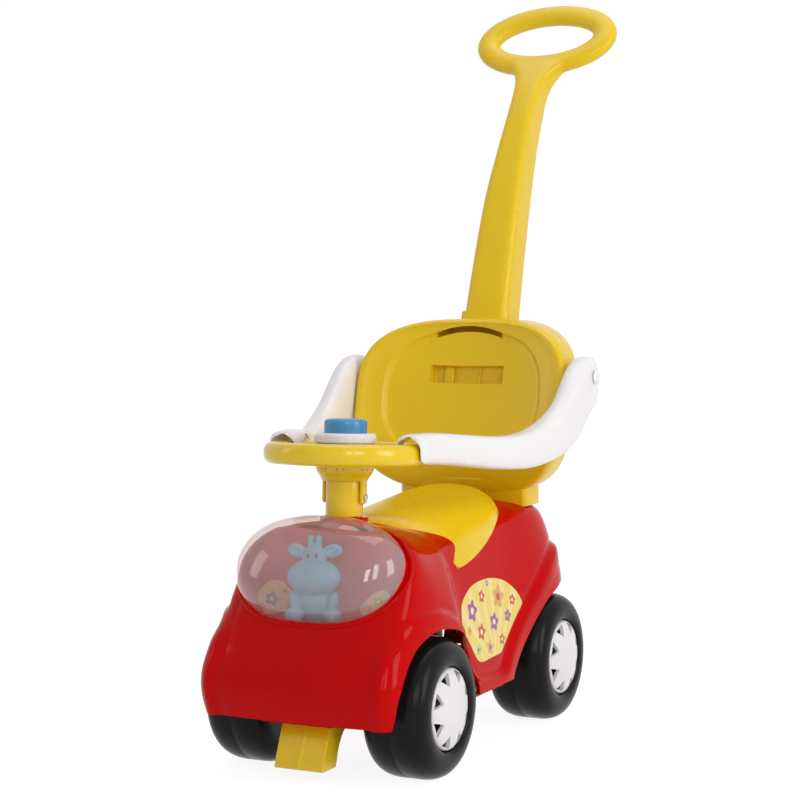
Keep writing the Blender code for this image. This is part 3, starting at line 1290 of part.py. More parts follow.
for wheel_side in ("left", "right"):
    across = side_sign(wheel_side) * WHEEL_MIDDLE
    add_wheel("front_" + wheel_side, wheel_side, FRONT_HUB, (across, 0, 0))
    add_wheel("rear_" + wheel_side, wheel_side, CAR_FRAME, (across, WHEELBASE / 2, WHEEL_RADIUS))
add_axle("rear_axle", CAR_FRAME, (0, WHEELBASE / 2, WHEEL_RADIUS))
add_steering()
add_body_shell()
add_underbody()
add_foot()
add_dome()
add_toy()
add_seat()
add_backrest()
add_handle()
for arm_side in ("left", "right"):
    add_arm(arm_side)
add_deck_screws()
centre_on_origin()
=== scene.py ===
"""The finished look of a child's ride-on car with a push handle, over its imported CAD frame.

Shapes are made in millimetres in the car's own frame (-Y is the front, +X its left side, Z up, the
origin on the floor below the middle of the wheelbase) and are then placed in the frame in metres.
"""

import json
from math import atan, copysign, cos, exp, hypot, pi, radians, sin

import bmesh
import bpy
from mathutils import Matrix, Vector
from mathutils.bvhtree import BVHTree


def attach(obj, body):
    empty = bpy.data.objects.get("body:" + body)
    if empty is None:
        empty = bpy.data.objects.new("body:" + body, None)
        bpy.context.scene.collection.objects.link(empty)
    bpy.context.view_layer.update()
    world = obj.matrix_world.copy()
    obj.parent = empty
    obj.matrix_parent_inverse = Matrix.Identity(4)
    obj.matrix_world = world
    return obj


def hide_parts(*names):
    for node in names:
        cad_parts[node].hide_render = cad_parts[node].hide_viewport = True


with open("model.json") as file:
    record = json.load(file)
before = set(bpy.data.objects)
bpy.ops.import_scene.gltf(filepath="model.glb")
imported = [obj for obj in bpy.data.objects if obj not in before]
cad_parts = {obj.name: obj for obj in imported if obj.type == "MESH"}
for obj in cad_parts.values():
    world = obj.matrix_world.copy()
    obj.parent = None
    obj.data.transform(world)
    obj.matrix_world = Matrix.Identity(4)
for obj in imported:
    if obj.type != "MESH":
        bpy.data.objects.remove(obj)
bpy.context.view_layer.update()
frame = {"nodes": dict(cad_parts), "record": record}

MILLIMETRE = 0.001
# Where the middle of the wheelbase lies in the frame, in metres
CAR_SHIFT = -0.098
HALF_WHEELBASE, HALF_TRACK, AXLE_HEIGHT = 156.75, 95, 75
# The wall of the large moulded shells, and the radii of the holes
WALL = 3
SCREW_HOLE, PIN_HOLE = 2.25, 5.25
# Y and Z of the guard arms' axis
PIVOT = (170, 408)

CAR = Matrix.Translation((0, CAR_SHIFT, 0)) @ Matrix.Scale(MILLIMETRE, 4)
AXLE_IN_CAR = Matrix.Translation((0, -HALF_WHEELBASE, AXLE_HEIGHT))
FRONT_AXLE = CAR @ AXLE_IN_CAR
REAR_AXLE = CAR @ Matrix.Translation((0, HALF_WHEELBASE, AXLE_HEIGHT))
COLUMN_LEAN = Matrix.Rotation(-radians(3.4), 4, "X")
COLUMN_IN_CAR = AXLE_IN_CAR @ COLUMN_LEAN
COLUMN = FRONT_AXLE @ COLUMN_LEAN
SIDES = (("left", 1), ("right", -1))


# Shapes

def chain(shape, points, closed):
    """Vertices joined by edges, as an open or a closed line."""
    verts = [shape.verts.new(point) for point in points]
    pairs = list(zip(verts, verts[1:]))
    if closed:
        pairs.append((verts[-1], verts[0]))
    return verts, [shape.edges.new(pair) for pair in pairs]


def tidy(shape):
    bmesh.ops.remove_doubles(shape, verts=shape.verts, dist=0.01)
    bmesh.ops.recalc_face_normals(shape, faces=shape.faces)
    return shape


def everything(shape):
    return shape.verts[:] + shape.edges[:] + shape.faces[:]


def faced(shape, way=(0, 0, 1)):
    """An open sheet turned over if it doesn't look along the way."""
    if sum(face.normal.dot(Vector(way)) for face in shape.faces) < 0:
        bmesh.ops.reverse_faces(shape, faces=shape.faces)
    return shape


def turned(profile, steps=96, closed=True):
    """A profile of radius and height turned about Z."""
    shape = bmesh.new()
    verts, edges = chain(shape, [(radius, 0, height) for radius, height in profile], closed)
    bmesh.ops.spin(shape, geom=verts + edges, cent=(0, 0, 0), axis=(0, 0, 1), angle=2 * pi,
                   steps=steps, use_merge=True)
    return tidy(shape)


def lofted(rings, loop=True, capped=True, ring_shape=False):
    """Rings of equally many points bridged in turn; a ring shape joins the last to the first."""
    shape = bmesh.new()
    chains = [chain(shape, ring, loop)[1] for ring in rings]
    pairs = list(zip(chains, chains[1:]))
    if ring_shape:
        pairs.append((chains[-1], chains[0]))
    for before, after in pairs:
        bmesh.ops.bridge_loops(shape, edges=before + after)
    if capped:
        bmesh.ops.holes_fill(shape, edges=shape.edges, sides=0)
    return tidy(shape)


def mirrored_sheet(rows):
    """An open sheet through rows of points, mirrored in the car's middle plane and facing up."""
    shape = lofted(rows, loop=False, capped=False)
    bmesh.ops.mirror(shape, geom=everything(shape), axis="X", matrix=Matrix.Identity(4),
                     merge_dist=0.01)
    return faced(tidy(shape))


def block(low, high, round_off=0.0, segments=3):
    """A box between two corners, with its edges rounded."""
    shape = bmesh.new()
    bmesh.ops.create_cube(shape, size=1)
    low, high = Vector(low), Vector(high)
    bmesh.ops.scale(shape, vec=high - low, verts=shape.verts)
    if round_off:
        bmesh.ops.bevel(shape, geom=shape.edges[:], offset=round_off, segments=segments,
                        profile=0.5, affect="EDGES", material=-1)
    bmesh.ops.translate(shape, vec=(low + high) / 2, verts=shape.verts)
    return shape


def ball(centre, size, turn=None):
    """An ellipsoid with three half sizes, turned about its own centre."""
    shape = bmesh.new()
    bmesh.ops.create_uvsphere(shape, u_segments=28, v_segments=16, radius=1)
    bmesh.ops.scale(shape, vec=size, verts=shape.verts)
    if turn:
        bmesh.ops.rotate(shape, matrix=turn, verts=shape.verts)
    bmesh.ops.translate(shape, vec=centre, verts=shape.verts)
    return shape


def rod(radius, start, end, steps=32, end_radius=None):
    """A round rod or cone between two points."""
    start, end = Vector(start), Vector(end)
    shape = bmesh.new()
    bmesh.ops.create_cone(shape, cap_ends=True, segments=steps, radius1=radius,
                          radius2=radius if end_radius is None else end_radius,
                          depth=(end - start).length)
    turn = (end - start).to_track_quat("Z", "Y").to_matrix()
    bmesh.ops.rotate(shape, matrix=turn @ Matrix.Rotation(pi / steps, 3, "Z"), verts=shape.verts)
    bmesh.ops.translate(shape, vec=(start + end) / 2, verts=shape.verts)
    return shape


def prism(points, way):
    """A face through the points, extruded along a way."""
    shape = bmesh.new()
    face = shape.faces.new([shape.verts.new(point) for point in points])
    raised = bmesh.ops.extrude_face_region(shape, geom=[face])["geom"]
    bmesh.ops.translate(shape, vec=way,
                        verts=[v for v in raised if isinstance(v, bmesh.types.BMVert)])
    return tidy(shape)


def slab(outline, low, high, axis="X"):
    """A flat outline given a thickness: of Y, Z pairs along X, or of X, Z pairs along Y."""
    if axis == "X":
        return prism([(low, u, v) for u, v in outline], (high - low, 0, 0))
    return prism([(u, low, v) for u, v in outline], (0, high - low, 0))


def moved(shape, matrix):
    bmesh.ops.transform(shape, matrix=matrix, verts=shape.verts)
    return shape


def mesh_of(shape, name):
    """A shape as a mesh; the shape is freed."""
    mesh = bpy.data.meshes.new(name)
    shape.to_mesh(mesh)
    shape.free()
    return mesh


def linked(name, data):
    """A new object in the scene."""
    item = bpy.data.objects.new(name, data)
    bpy.context.scene.collection.objects.link(item)
    return item


def add_steps(item, steps):
    """Modifiers on an object, each named by its type and its settings."""
    for kind, settings in steps:
        step = item.modifiers.new(kind.lower(), kind)
        for name, value in settings.items():
            setattr(step, name, value)


def together(shapes):
    """Several shapes as one, each still a body of its own."""
    whole = bmesh.new()
    for shape in shapes:
        mesh = mesh_of(shape, "part")
        whole.from_mesh(mesh)
        bpy.data.meshes.remove(mesh)
    return whole


def held(shape):
    """A shape as an object, for modifiers to work on."""
    return linked("held", mesh_of(shape, "held"))


def worked(shape, *steps):
    """The shape after some modifiers."""
    holder = held(shape)
    add_steps(holder, steps)
    result = bmesh.new()
    result.from_object(holder, bpy.context.evaluated_depsgraph_get())
    bpy.data.meshes.remove(holder.data)
    return result


def combined(shape, others, operation="UNION", folded=False):
    """The shape joined with or cut by each of the others; folded if one of them crosses itself."""
    tools = [held(other) for other in others]
    steps = [("BOOLEAN", {"object": tool, "operation": operation, "solver": "EXACT",
                          "use_self": folded}) for tool in tools]
    result = worked(shape, *steps)
    for tool in tools:
        bpy.data.meshes.remove(tool.data)
    return result


def cut(shape, tools, folded=False):
    return combined(shape, tools, "DIFFERENCE", folded)


def smoothed(shape, levels):
    return worked(shape, ("SUBSURF", {"levels": levels, "render_levels": levels}))


def walled(shape, thickness):
    """A sheet given a wall on its inner side."""
    return worked(shape, ("SOLIDIFY", {"thickness": thickness, "offset": -1.0,
                                       "use_even_offset": True}))


def melted(shape, voxel, rounds):
    """Overlapping bodies made one skin with small fillets, as a mould would blend them."""
    shape = worked(shape, ("REMESH", {"mode": "VOXEL", "voxel_size": voxel}))
    for _ in range(rounds):
        bmesh.ops.smooth_vert(shape, verts=shape.verts, factor=0.5, use_axis_x=True,
                              use_axis_y=True, use_axis_z=True)
    return shape


def softened(points, size, steps=4, closed=False):
    """The corners of a line rounded off, each over a length on both sides of it."""
    soft = []
    count = len(points)
    for i, corner in enumerate(points):
        corner = Vector(corner)
        if not closed and i in (0, count - 1):
            soft.append(tuple(corner))
            continue
        before, after = Vector(points[i - 1]) - corner, Vector(points[(i + 1) % count]) - corner
        start = corner + before.normalized() * min(size, before.length * 0.45)
        end = corner + after.normalized() * min(size, after.length * 0.45)
        for k in range(steps + 1):
            t = k / steps
            soft.append(tuple(start * (1 - t) ** 2 + corner * 2 * t * (1 - t) + end * t * t))
    return soft


def smooth_line(points, steps):
    """More points on the smooth curve that runs through the points given."""
    fine = []
    last = len(points) - 1
    for i in range(last):
        four = [points[max(i - 1, 0)], points[i], points[i + 1], points[min(i + 2, last)]]
        for k in range(steps):
            t = k / steps
            fine.append(tuple(
                0.5 * (2 * b + (c - a) * t + (2 * a - 5 * b + 4 * c - d) * t * t
                       + (3 * b - a - 3 * c + d) * t ** 3) for a, b, c, d in zip(*four)))
    return fine + [tuple(points[-1])]


def rounded(turn, half_width, half_height, power):
    """A point on a rounded rectangle around the origin."""
    c, s = cos(turn), sin(turn)
    return (copysign(abs(c) ** (2 / power), c) * half_width,
            copysign(abs(s) ** (2 / power), s) * half_height)


def section(centre, side, forward, half_width, half_depth, power, count):
    """A rounded rectangle around a centre, in the plane of two directions."""
    ring = []
    for i in range(count):
        u, v = rounded(2 * pi * (i + 0.5) / count, half_width, half_depth, power)
        ring.append(Vector(centre) + Vector(side) * u + Vector(forward) * v)
    return ring


def smoothstep(low, high, value):
    t = min(max((value - low) / (high - low), 0.0), 1.0)
    return t * t * (3 - 2 * t)


def make_piece(name, shape, material, body, nodes=(), where=CAR, sharp=38, finish=()):
    """A shape as a finished piece in the frame, riding on a body and standing for CAD nodes."""
    mesh = mesh_of(moved(shape, where), name)
    mesh.shade_smooth()
    mesh.set_sharp_from_angle(angle=radians(sharp))
    mesh.materials.append(material)
    piece = linked(name, mesh)
    add_steps(piece, finish)
    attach(piece, body)
    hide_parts(*nodes)


def edge_bevel(width, angle, segments):
    """A bevel of a width in millimetres on the edges sharper than an angle."""
    return [("BEVEL", {"width": width * MILLIMETRE, "segments": segments,
                       "limit_method": "ANGLE", "angle_limit": radians(angle)})]


# Materials

def linear(code):
    """An sRGB hex colour as a linear one."""
    channels = [int(code[i:i + 2], 16) / 255 for i in (1, 3, 5)]
    return [c / 12.92 if c <= 0.04045 else ((c + 0.055) / 1.055) ** 2.4 for c in channels] + [1]


def feed(tree, node, inputs):
    """A value or a link for each input named."""
    for name, value in inputs.items():
        if isinstance(value, bpy.types.NodeSocket):
            tree.links.new(value, node.inputs[name])
        else:
            node.inputs[name].default_value = value


def add_node(tree, kind, inputs=None, **settings):
    """A shader node with its settings and its inputs."""
    node = tree.nodes.new(kind)
    for name, value in settings.items():
        setattr(node, name, value)
    feed(tree, node, inputs or {})
    return node


def start_material(name):
    material = bpy.data.materials.new(name)
    material.use_nodes = True
    tree = material.node_tree
    return material, tree, tree.nodes["Principled BSDF"]


def place_nodes(tree):
    return add_node(tree, "ShaderNodeTexCoord").outputs["Object"]


def noise(tree, place, size, detail, **inputs):
    """Noise with features of a size in millimetres."""
    inputs |= {"Vector": place, "Scale": 1 / (size * MILLIMETRE), "Detail": detail}
    return add_node(tree, "ShaderNodeTexNoise", inputs).outputs["Fac"]


def between(tree, value, low, high, new_low, new_high):
    """A value carried from one range over to another."""
    return add_node(tree, "ShaderNodeMapRange", {
        "Value": value, "From Min": low, "From Max": high, "To Min": new_low,
        "To Max": new_high}).outputs["Result"]


def blend(tree, factor, first, second):
    """Two colours mixed."""
    return add_node(tree, "ShaderNodeMix", {"Factor": factor, 6: first, 7: second},
                    data_type="RGBA").outputs[2]


def bump(tree, height, depth, **inputs):
    """A surface raised by a pattern, by a depth in millimetres."""
    inputs |= {"Height": height, "Strength": 1.0, "Distance": depth * MILLIMETRE}
    return add_node(tree, "ShaderNodeBump", inputs).outputs["Normal"]


def maths(tree, operation, first, second=0.0):
    return add_node(tree, "ShaderNodeMath", {0: first, 1: second},
                    operation=operation).outputs[0]


def mix_shaders(tree, factor, first, second):
    return add_node(tree, "ShaderNodeMixShader", {"Fac": factor, 1: first.outputs[0],
                                                  2: second.outputs[0]})


def show(tree, shader):
    tree.links.new(shader.outputs[0], tree.nodes["Material Output"].inputs["Surface"])


def moulded(name, colour, shade, roughness, spread, peel, ripple, ior=1.5, level=0.5):
    """Moulded plastic: a colour that drifts a little, a gloss broken by handling, and two depths
    of surface in mm: the orange peel of the mould's skin and the slow ripple of the wall."""
    material, tree, shader = start_material(name)
    place = place_nodes(tree)
    wear = noise(tree, place, 22, 5, Roughness=0.62)
    skin = bump(tree, noise(tree, place, 1.6, 1), peel)
    feed(tree, shader, {
        "Base Color": blend(tree, noise(tree, place, 60, 2), linear(colour), linear(shade)),
        "Roughness": between(tree, wear, 0.35, 0.7, roughness, roughness + spread),
        "Normal": bump(tree, noise(tree, place, 35, 1), ripple, Normal=skin),
        "IOR": ior, "Specular IOR Level": level})
    return material


def clear_styrene():
    """Thin polished polystyrene: light passes, the gloss grows at its edges, and a milky film of
    fine scratches and mould haze keeps what is below it a little veiled."""
    material, tree, film = start_material("clear_polystyrene")
    place = place_nodes(tree)
    normal = bump(tree, noise(tree, place, 30, 1), 0.2)
    feed(tree, film, {"Base Color": linear("#F2EAE8"), "Roughness": 0.05, "IOR": 1.49,
                      "Normal": normal})
    clear = add_node(tree, "ShaderNodeBsdfTransparent", {"Color": linear("#FCF8F7")})
    veil = between(tree, noise(tree, place, 50, 3), 0.3, 0.7, 0.1, 0.15)
    hazy = mix_shaders(tree, veil, clear, film)
    shine = add_node(tree, "ShaderNodeBsdfAnisotropic", {"Color": linear("#FFFFFF"),
                                                         "Roughness": 0.03, "Normal": normal})
    edge = add_node(tree, "ShaderNodeFresnel", {"IOR": 1.49, "Normal": normal})
    side = add_node(tree, "ShaderNodeNewGeometry")
    outside = maths(tree, "SUBTRACT", 1.0, side.outputs["Backfacing"])
    gloss = maths(tree, "MULTIPLY", edge.outputs["Fac"], outside)
    show(tree, mix_shaders(tree, gloss, hazy, shine))
    return material


def zinc_steel():
    """Zinc-plated steel wire and screws: bright, with a fine brushed grain."""
    material, tree, shader = start_material("zinc_plated_steel")
    grain = noise(tree, place_nodes(tree), 1.2, 3)
    feed(tree, shader, {"Roughness": between(tree, grain, 0.0, 1.0, 0.22, 0.42),
                        "Base Color": blend(tree, grain, linear("#B9BBC0"), linear("#D6D7DA")),
                        "Metallic": 1.0})
    return material


RED = moulded("red_polypropylene", "#C80000", "#BE0000", 0.08, 0.04, 0.0012, 0.12, level=0.07)
YELLOW = moulded("yellow_polyethylene", "#EAC60F", "#E5BF0B", 0.27, 0.06, 0.002, 0.1, level=0.36)
YELLOW_GLOSS = moulded("yellow_polypropylene", "#EDC90C", "#E7C009", 0.15, 0.06, 0.002, 0.08,
                       level=0.45)
WHITE = moulded("white_polyethylene", "#EFECEC", "#EAE6E7", 0.2, 0.08, 0.003, 0.15)
CAP_WHITE = moulded("white_abs", "#E9E6E8", "#E1DEE0", 0.28, 0.14, 0.006, 0.1)
BLACK = moulded("black_polyethylene", "#161414", "#1A1818", 0.2, 0.08, 0.003, 0.25, level=0.1)
BLUE = moulded("blue_polypropylene", "#3B8DBE", "#3583B4", 0.25, 0.12, 0.006, 0.1)
VINYL = moulded("blue_soft_vinyl", "#74B0CE", "#69A6C6", 0.5, 0.14, 0.02, 0.1, 1.48)
BOARD = moulded("green_circuit_board", "#2A6E3C", "#256336", 0.35, 0.1, 0.004, 0.05)
INK = moulded("black_vinyl_paint", "#1A2630", "#20303C", 0.35, 0.1, 0.004, 0.02)
CLEAR = clear_styrene()
STEEL = zinc_steel()

CAD_LOOKS = {
    "red_plastic": RED, "yellow_plastic": YELLOW, "white_plastic": WHITE, "blue_plastic": BLUE,
    "blue_vinyl": VINYL, "black_plastic": BLACK, "clear_plastic": CLEAR, "bright_steel": STEEL,
    "green_board": BOARD,
}


def dress_nodes():
    """Each CAD node that stays in view gets the finish of its material slot."""
    slots = {row["node"]: row["material_slot"] for row in frame["record"]["subparts"]}
    for name, node in frame["nodes"].items():
        node.data.materials.clear()
        node.data.materials.append(CAD_LOOKS[slots[name]])
        node.data.shade_smooth()
        node.data.set_sharp_from_angle(angle=radians(32))


# Wheels

CAP_WINDOWS = 8


def tyre_profile():
    """A blow-moulded tyre: a flat tread, full shoulders and a deep recess for the hub cap."""
    shoulder = [(75, 12), (74.3, 19), (72, 26.5), (67.8, 32.3), (61.8, 36), (55, 37.3)]
    outer = smooth_line(shoulder + [(49.5, 37), (46, 35.4), (44.2, 32), (43.7, 26)], 4)
    inner = smooth_line([(radius, -out) for radius, out in shoulder] + [(42, -37), (26, -36.4)], 4)
    groove = [(75, -0.8), (74.75, 0), (75, 0.8)]
    return groove + outer + [(43.6, 22), (8.9, 22), (8.9, -36.3)] + inner[::-1]


def window(angle):
    """A rounded triangular prism that opens the hub cap, its tip towards the middle."""
    corners = softened([(27.5, 0), (40.2, -9.2), (40.2, 9.2)], 1.2, 3, True)
    return moved(prism([(x, y, 26) for x, y in corners], (0, 0, 30)),
                 Matrix.Rotation(angle, 4, "Z"))


def make_wheel(end, side, sign, axle):
    place = axle @ Matrix.Translation((sign * HALF_TRACK, 0, 0)) @ Matrix.Rotation(
        sign * pi / 2, 4, "Y")
    body = f"wheel_{end}_{side}"
    make_piece(f"tyre_moulding_{end}_{side}", turned(tyre_profile(), 112), BLACK, body,
               [f"tyre_{end}_{side}"], place)
    profile = softened([(0, 43), (14, 42.4), (27, 40.4), (37.5, 37.6), (41.8, 35.2), (43.2, 33),
                        (43.2, 22.4), (40.8, 22.4), (40.8, 31.5), (26, 37), (0, 39.2)], 1.5, 3)
    windows = [window(2 * pi * (i + 0.5) / CAP_WINDOWS) for i in range(CAP_WINDOWS)]
    disc = cut(turned(profile, 96, False), [together(windows)])
    make_piece(f"hub_disc_{end}_{side}", disc, CAP_WHITE, body, [f"hub_cap_{end}_{side}"],
               place, 30, edge_bevel(0.35, 45, 2))


# Steering, in the column's own frame

def screw_hole():
    """The cross hole for the screw that holds the steering wheel on its tube."""
    return rod(SCREW_HOLE, (-40, 0, 217), (40, 0, 217), 24)


def make_steering_wheel():
    rim = [(69, 275), (83.5, 275), (88, 268.5), (88, 258.5), (83.5, 252), (70.5, 252),
           (66, 258.5), (66, 269.5)]
    cup = [(30.5, 275), (33, 274.6), (33, 253), (30.5, 244), (26, 237.5), (24.5, 234), (20.6, 234),
           (20.6, 243.4), (6, 243.4), (6, 246.4), (30.5, 246.4)]
    parts = [turned(softened(rim, 5, 4, True), 120), turned(softened(cup, 1.2, 3, True), 72)]
    for angle in (90, 215, 325):
        spoke = block((30, -13, 256), (72, 13, 269), 3.5, 4)
        parts.append(moved(spoke, Matrix.Rotation(radians(angle), 4, "Z")))
    for near, far in ((20.6, 25.1), (-25.1, -20.6)):
        parts.append(block((near, -6, 210), (far, 6, 238), 1.2, 2))
    wheel = cut(melted(together(parts), 1.1, 6), [screw_hole()])
    make_piece("steering_wheel_moulding", wheel, YELLOW_GLOSS, "steering", ["steering_wheel"],
               COLUMN, 50)


def make_horn():
    base = [(23.7, 285.3), (31, 285.3), (33.5, 282.5), (33.5, 275.3), (30.2, 275.3), (30.2, 270.3),
            (5, 270.3), (5, 277.3), (23.7, 277.3)]
    make_piece("horn_surround", turned(softened(base, 1.6, 4, True), 96), CAP_WHITE, "steering",
               ["horn_base"], COLUMN)
    button = [(0, 301.3), (12, 301.2), (18.2, 300.9), (22.2, 299.4), (23.2, 296.4), (23.2, 281.1),
              (20.8, 281.1), (20.8, 297.9), (4, 297.9), (4, 276.1), (0, 276.1)]
    make_piece("horn_press", turned(softened(button, 1.6, 4), 96, False), BLUE, "button",
               ["horn_button"], COLUMN)
    tube = [(17.7, 243), (20.2, 242.4), (20.2, 196.3), (15, 196.3), (15, 22.3), (12.5, 22.3),
            (12.5, 198.3), (17.7, 202.3)]
    column = cut(turned(softened(tube, 0.8, 2, True), 72),
                 [screw_hole(), rod(SCREW_HOLE, (0, -30, 35), (0, 30, 35), 24)])
    make_piece("steering_column", column, YELLOW_GLOSS, "steering", ["steering_tube"],
               COLUMN, 40)


# Red body

# Its sides are rows at rising heights: the nose, the nose's corner, then half breadths at
# stations from front to rear, and the tail. Above them run the shoulder and the middle line.
ROW_HEIGHTS = (70.5, 112, 165, 217, 240)
FRONT_LINE = (-265, -278, -238, -202, -185)
CORNER_BREADTH = (107, 114, 104, 102, 97)
CORNER_BACK = (4, 7, 7, 4, 4)
STATIONS = (-228, -180, -128, -102, -90, -78, 40, 105, 150, 188)
HALF_BREADTHS = (
    (120, 121, 118, 117.5, 117, 116, 116, 117, 113, 102),
    (123, 125, 122.5, 121.5, 112, 110, 110, 119.5, 120, 111),
    (113, 122, 121.5, 119, 107.5, 105, 106, 118.5, 124, 119),
    (108, 106, 102, 100.5, 97, 96.5, 96, 102, 106, 101),
    (98, 92.5, 87, 85, 82.5, 81.5, 82, 91, 96, 92),
)
REAR_LINE = (206, 221, 228, 221, 218)
REAR_BREADTH = (84, 88, 91, 86, 80)
SHOULDER_BREADTH = (68, 76, 69, 63, 60.5, 58.5, 57.5, 59, 77, 88, 82, 62)
SHOULDER_HEIGHT = (256, 257, 257, 256.5, 254.5, 252.5, 251, 248, 254.5, 258, 257, 254)
SHOULDER_Y = (-171, -157, -139, -119, -102, -90, -79, 40, 105, 150, 188, 204)
TOP_HEIGHT = (268, 268, 265.5, 262.5, 259.5, 257.3, 255.5, 252.5, 258.5, 262, 261, 257)
TOP_Y = (-165, -156, -139, -119, -102, -90, -79, 40, 105, 150, 188, 206)
# Ahead of this station the stations move back with the nose of their row
BLEND_STATION = -110

# The side view's outlines, in Y and Z
ARCH_FRONT = ((-251.5, 40), (-251.5, 92), (-247, 107), (-239, 121), (-227, 135), (-207, 149),
              (-175, 158.5), (-140, 156.5), (-110, 147), (-84, 125.5), (-66, 98), (-61, 76),
              (-60, 40))
ARCH_REAR = ((20, 40), (31, 69), (52, 92), (78, 114), (104, 134), (128, 149), (150, 156),
             (176, 163), (205, 166))
REAR_END = [(300, 166), (300, 40)]
BORDER = ((-268, 60), (-268, 100), (-263, 129), (-250, 152), (-226, 170), (-192, 179.5),
          (-158, 179.5), (-126, 170.5), (-99, 154), (-80, 132), (-68, 108), (-60, 93), (-47, 87),
          (6, 84.5), (22, 97), (44, 119), (68, 141), (104, 167), (140, 190), (179, 206), (222, 211))
BORDER_START, BORDER_TOP = 84, 216
# The hood's opening and the bubble on it
DOME_PLACE = Matrix.Translation((0, -198.5, 217.5)) @ Matrix.Rotation(radians(56.4), 4, "X")
DOME_HEIGHT = 46.8
BEAD_STEPS = 120


def body_rows():
    """Half of the body as rows from the sill to the centre line, each from front to rear."""
    rows = []
    for row, height in enumerate(ROW_HEIGHTS):
        front, corner = FRONT_LINE[row], CORNER_BREADTH[row]
        points = [(0, front), (corner * 0.55, front + 1), (corner, front + CORNER_BACK[row])]
        shrink = (BLEND_STATION - front) / (BLEND_STATION - min(FRONT_LINE))
        for station, breadth in zip(STATIONS, HALF_BREADTHS[row]):
            if station < BLEND_STATION:
                station = BLEND_STATION - (BLEND_STATION - station) * shrink
            points.append((breadth, station))
        rear = REAR_LINE[row]
        points += [(REAR_BREADTH[row], rear - 11), (REAR_BREADTH[row] * 0.5, rear - 1), (0, rear)]
        rows.append([(x, y, height) for x, y in points])
    shoulder = list(zip(SHOULDER_BREADTH, SHOULDER_Y, SHOULDER_HEIGHT))
    top = [(0, y, z) for y, z in zip(TOP_Y, TOP_HEIGHT)]
    for points, bulge in ((shoulder, 1), (top, 0)):
        (front_x, front_y, front_z), (rear_x, rear_y, rear_z) = points[0], points[-1]
        rows.append([(0, front_y, front_z), (front_x * 0.55, front_y, front_z)] + points
                    + [(rear_x * 0.5, rear_y + 5 * bulge, rear_z),
                       (0, rear_y + 6 * bulge, rear_z)])
    return rows


def line_distance(line, y, z):
    """How far a point of the side view is from a line, positive below or behind it."""
    best = (1e9, 0.0)
    for (y0, z0), (y1, z1) in zip(line, line[1:]):
        along = (y1 - y0, z1 - z0)
        t = ((y - y0) * along[0] + (z - z0) * along[1]) / (along[0] ** 2 + along[1] ** 2)
        t = min(max(t, 0.0), 1.0)
        gap = hypot(y - y0 - along[0] * t, z - z0 - along[1] * t)
        if gap < best[0]:
            turn = along[0] * (z - z0) - along[1] * (y - y0)
            best = (gap, -turn)
    return copysign(best[0], best[1])


def raise_border(shape):
    """The fat bead that runs over both arches and along the sill, with a soft valley above it.

    It stands on the sides only, and fades at the rear corners and at the upper front."""
    line = smooth_line(BORDER, 5)
    moves = []
    shape.normal_update()
    for vertex in shape.verts:
        x, y, z = vertex.co
        if abs(x) < BORDER_START or z > BORDER_TOP:
            continue
        inside = line_distance(line, y, z)
        if inside < -12:
            continue
        share = smoothstep(BORDER_START, 101, abs(x)) * (1 - smoothstep(196, 218, y))
        share *= 1 - smoothstep(140, 168, z) * (1 - smoothstep(-238, -190, y))
        bead = 5.2 * smoothstep(-1, 7.5, inside) - 1.4 * smoothstep(12, 26, inside)
        valley = -0.9 * exp(-((inside + 2.5) / 3) ** 2)
        moves.append((vertex, vertex.normal * (bead + valley) * share))
    for vertex, move in moves:
        vertex.co += move


def egg_ring(grow, height, steps=96):
    """Points on the hood's opening, an egg a little wider at its upper end."""
    ring = []
    for i in range(steps):
        c, s = cos(2 * pi * i / steps), sin(2 * pi * i / steps)
        power = 0.84 if s > 0 else 0.84 - 0.14 * min(-3 * s, 1)
        ring.append(Vector((copysign(abs(c) ** power, c) * (1 + 0.05 * s) * (95.8 + grow),
                            s * (58.6 + grow), height)))
    return ring


def egg_slab(grow, low, high):
    """A prism on the hood's opening, square to it."""
    return moved(lofted([egg_ring(grow, low), egg_ring(grow, high)]), DOME_PLACE)


def make_body():
    skin = smoothed(mirrored_sheet(body_rows()), 4)
    raise_border(skin)
    surface = BVHTree.FromBMesh(skin)
    cuts = [egg_slab(0, -14, 60)]
    for outline in (smooth_line(ARCH_FRONT, 6), smooth_line(ARCH_REAR, 6) + REAR_END):
        cuts += [slab(outline, 50, 170), slab(outline, -170, -50)]
    cuts.append(moved(rod(20, (0, 0, 150), (0, 0, 240)), COLUMN_IN_CAR))
    make_piece("body_moulding", cut(walled(skin, WALL), cuts), RED, "chassis", ["body_shell"],
               sharp=40)
    return surface


def make_well():
    """The open well below the bubble, with its floor and back wall, and the column's collar."""
    outer = combined(egg_slab(2.7, -75, 0.5), [block((-120, -300, 160.5), (120, -171.5, 300))],
                     "INTERSECT")
    inner = combined(egg_slab(0, -74, 20), [block((-119, -299, 163), (119, -174, 299))],
                     "INTERSECT")
    well = cut(outer, [inner, moved(rod(16, (0, 0, 60), (0, 0, 240)), COLUMN_IN_CAR)])
    make_piece("hood_well", well, RED, "chassis", ["body_shell"], sharp=30)
    profile = [(15.6, 196), (24.5, 196), (26, 194.5), (26, 174), (15.6, 174)]
    make_piece("column_collar", turned(softened(profile, 1, 3, True), 72), RED, "chassis",
               ["body_shell"], COLUMN, 40)


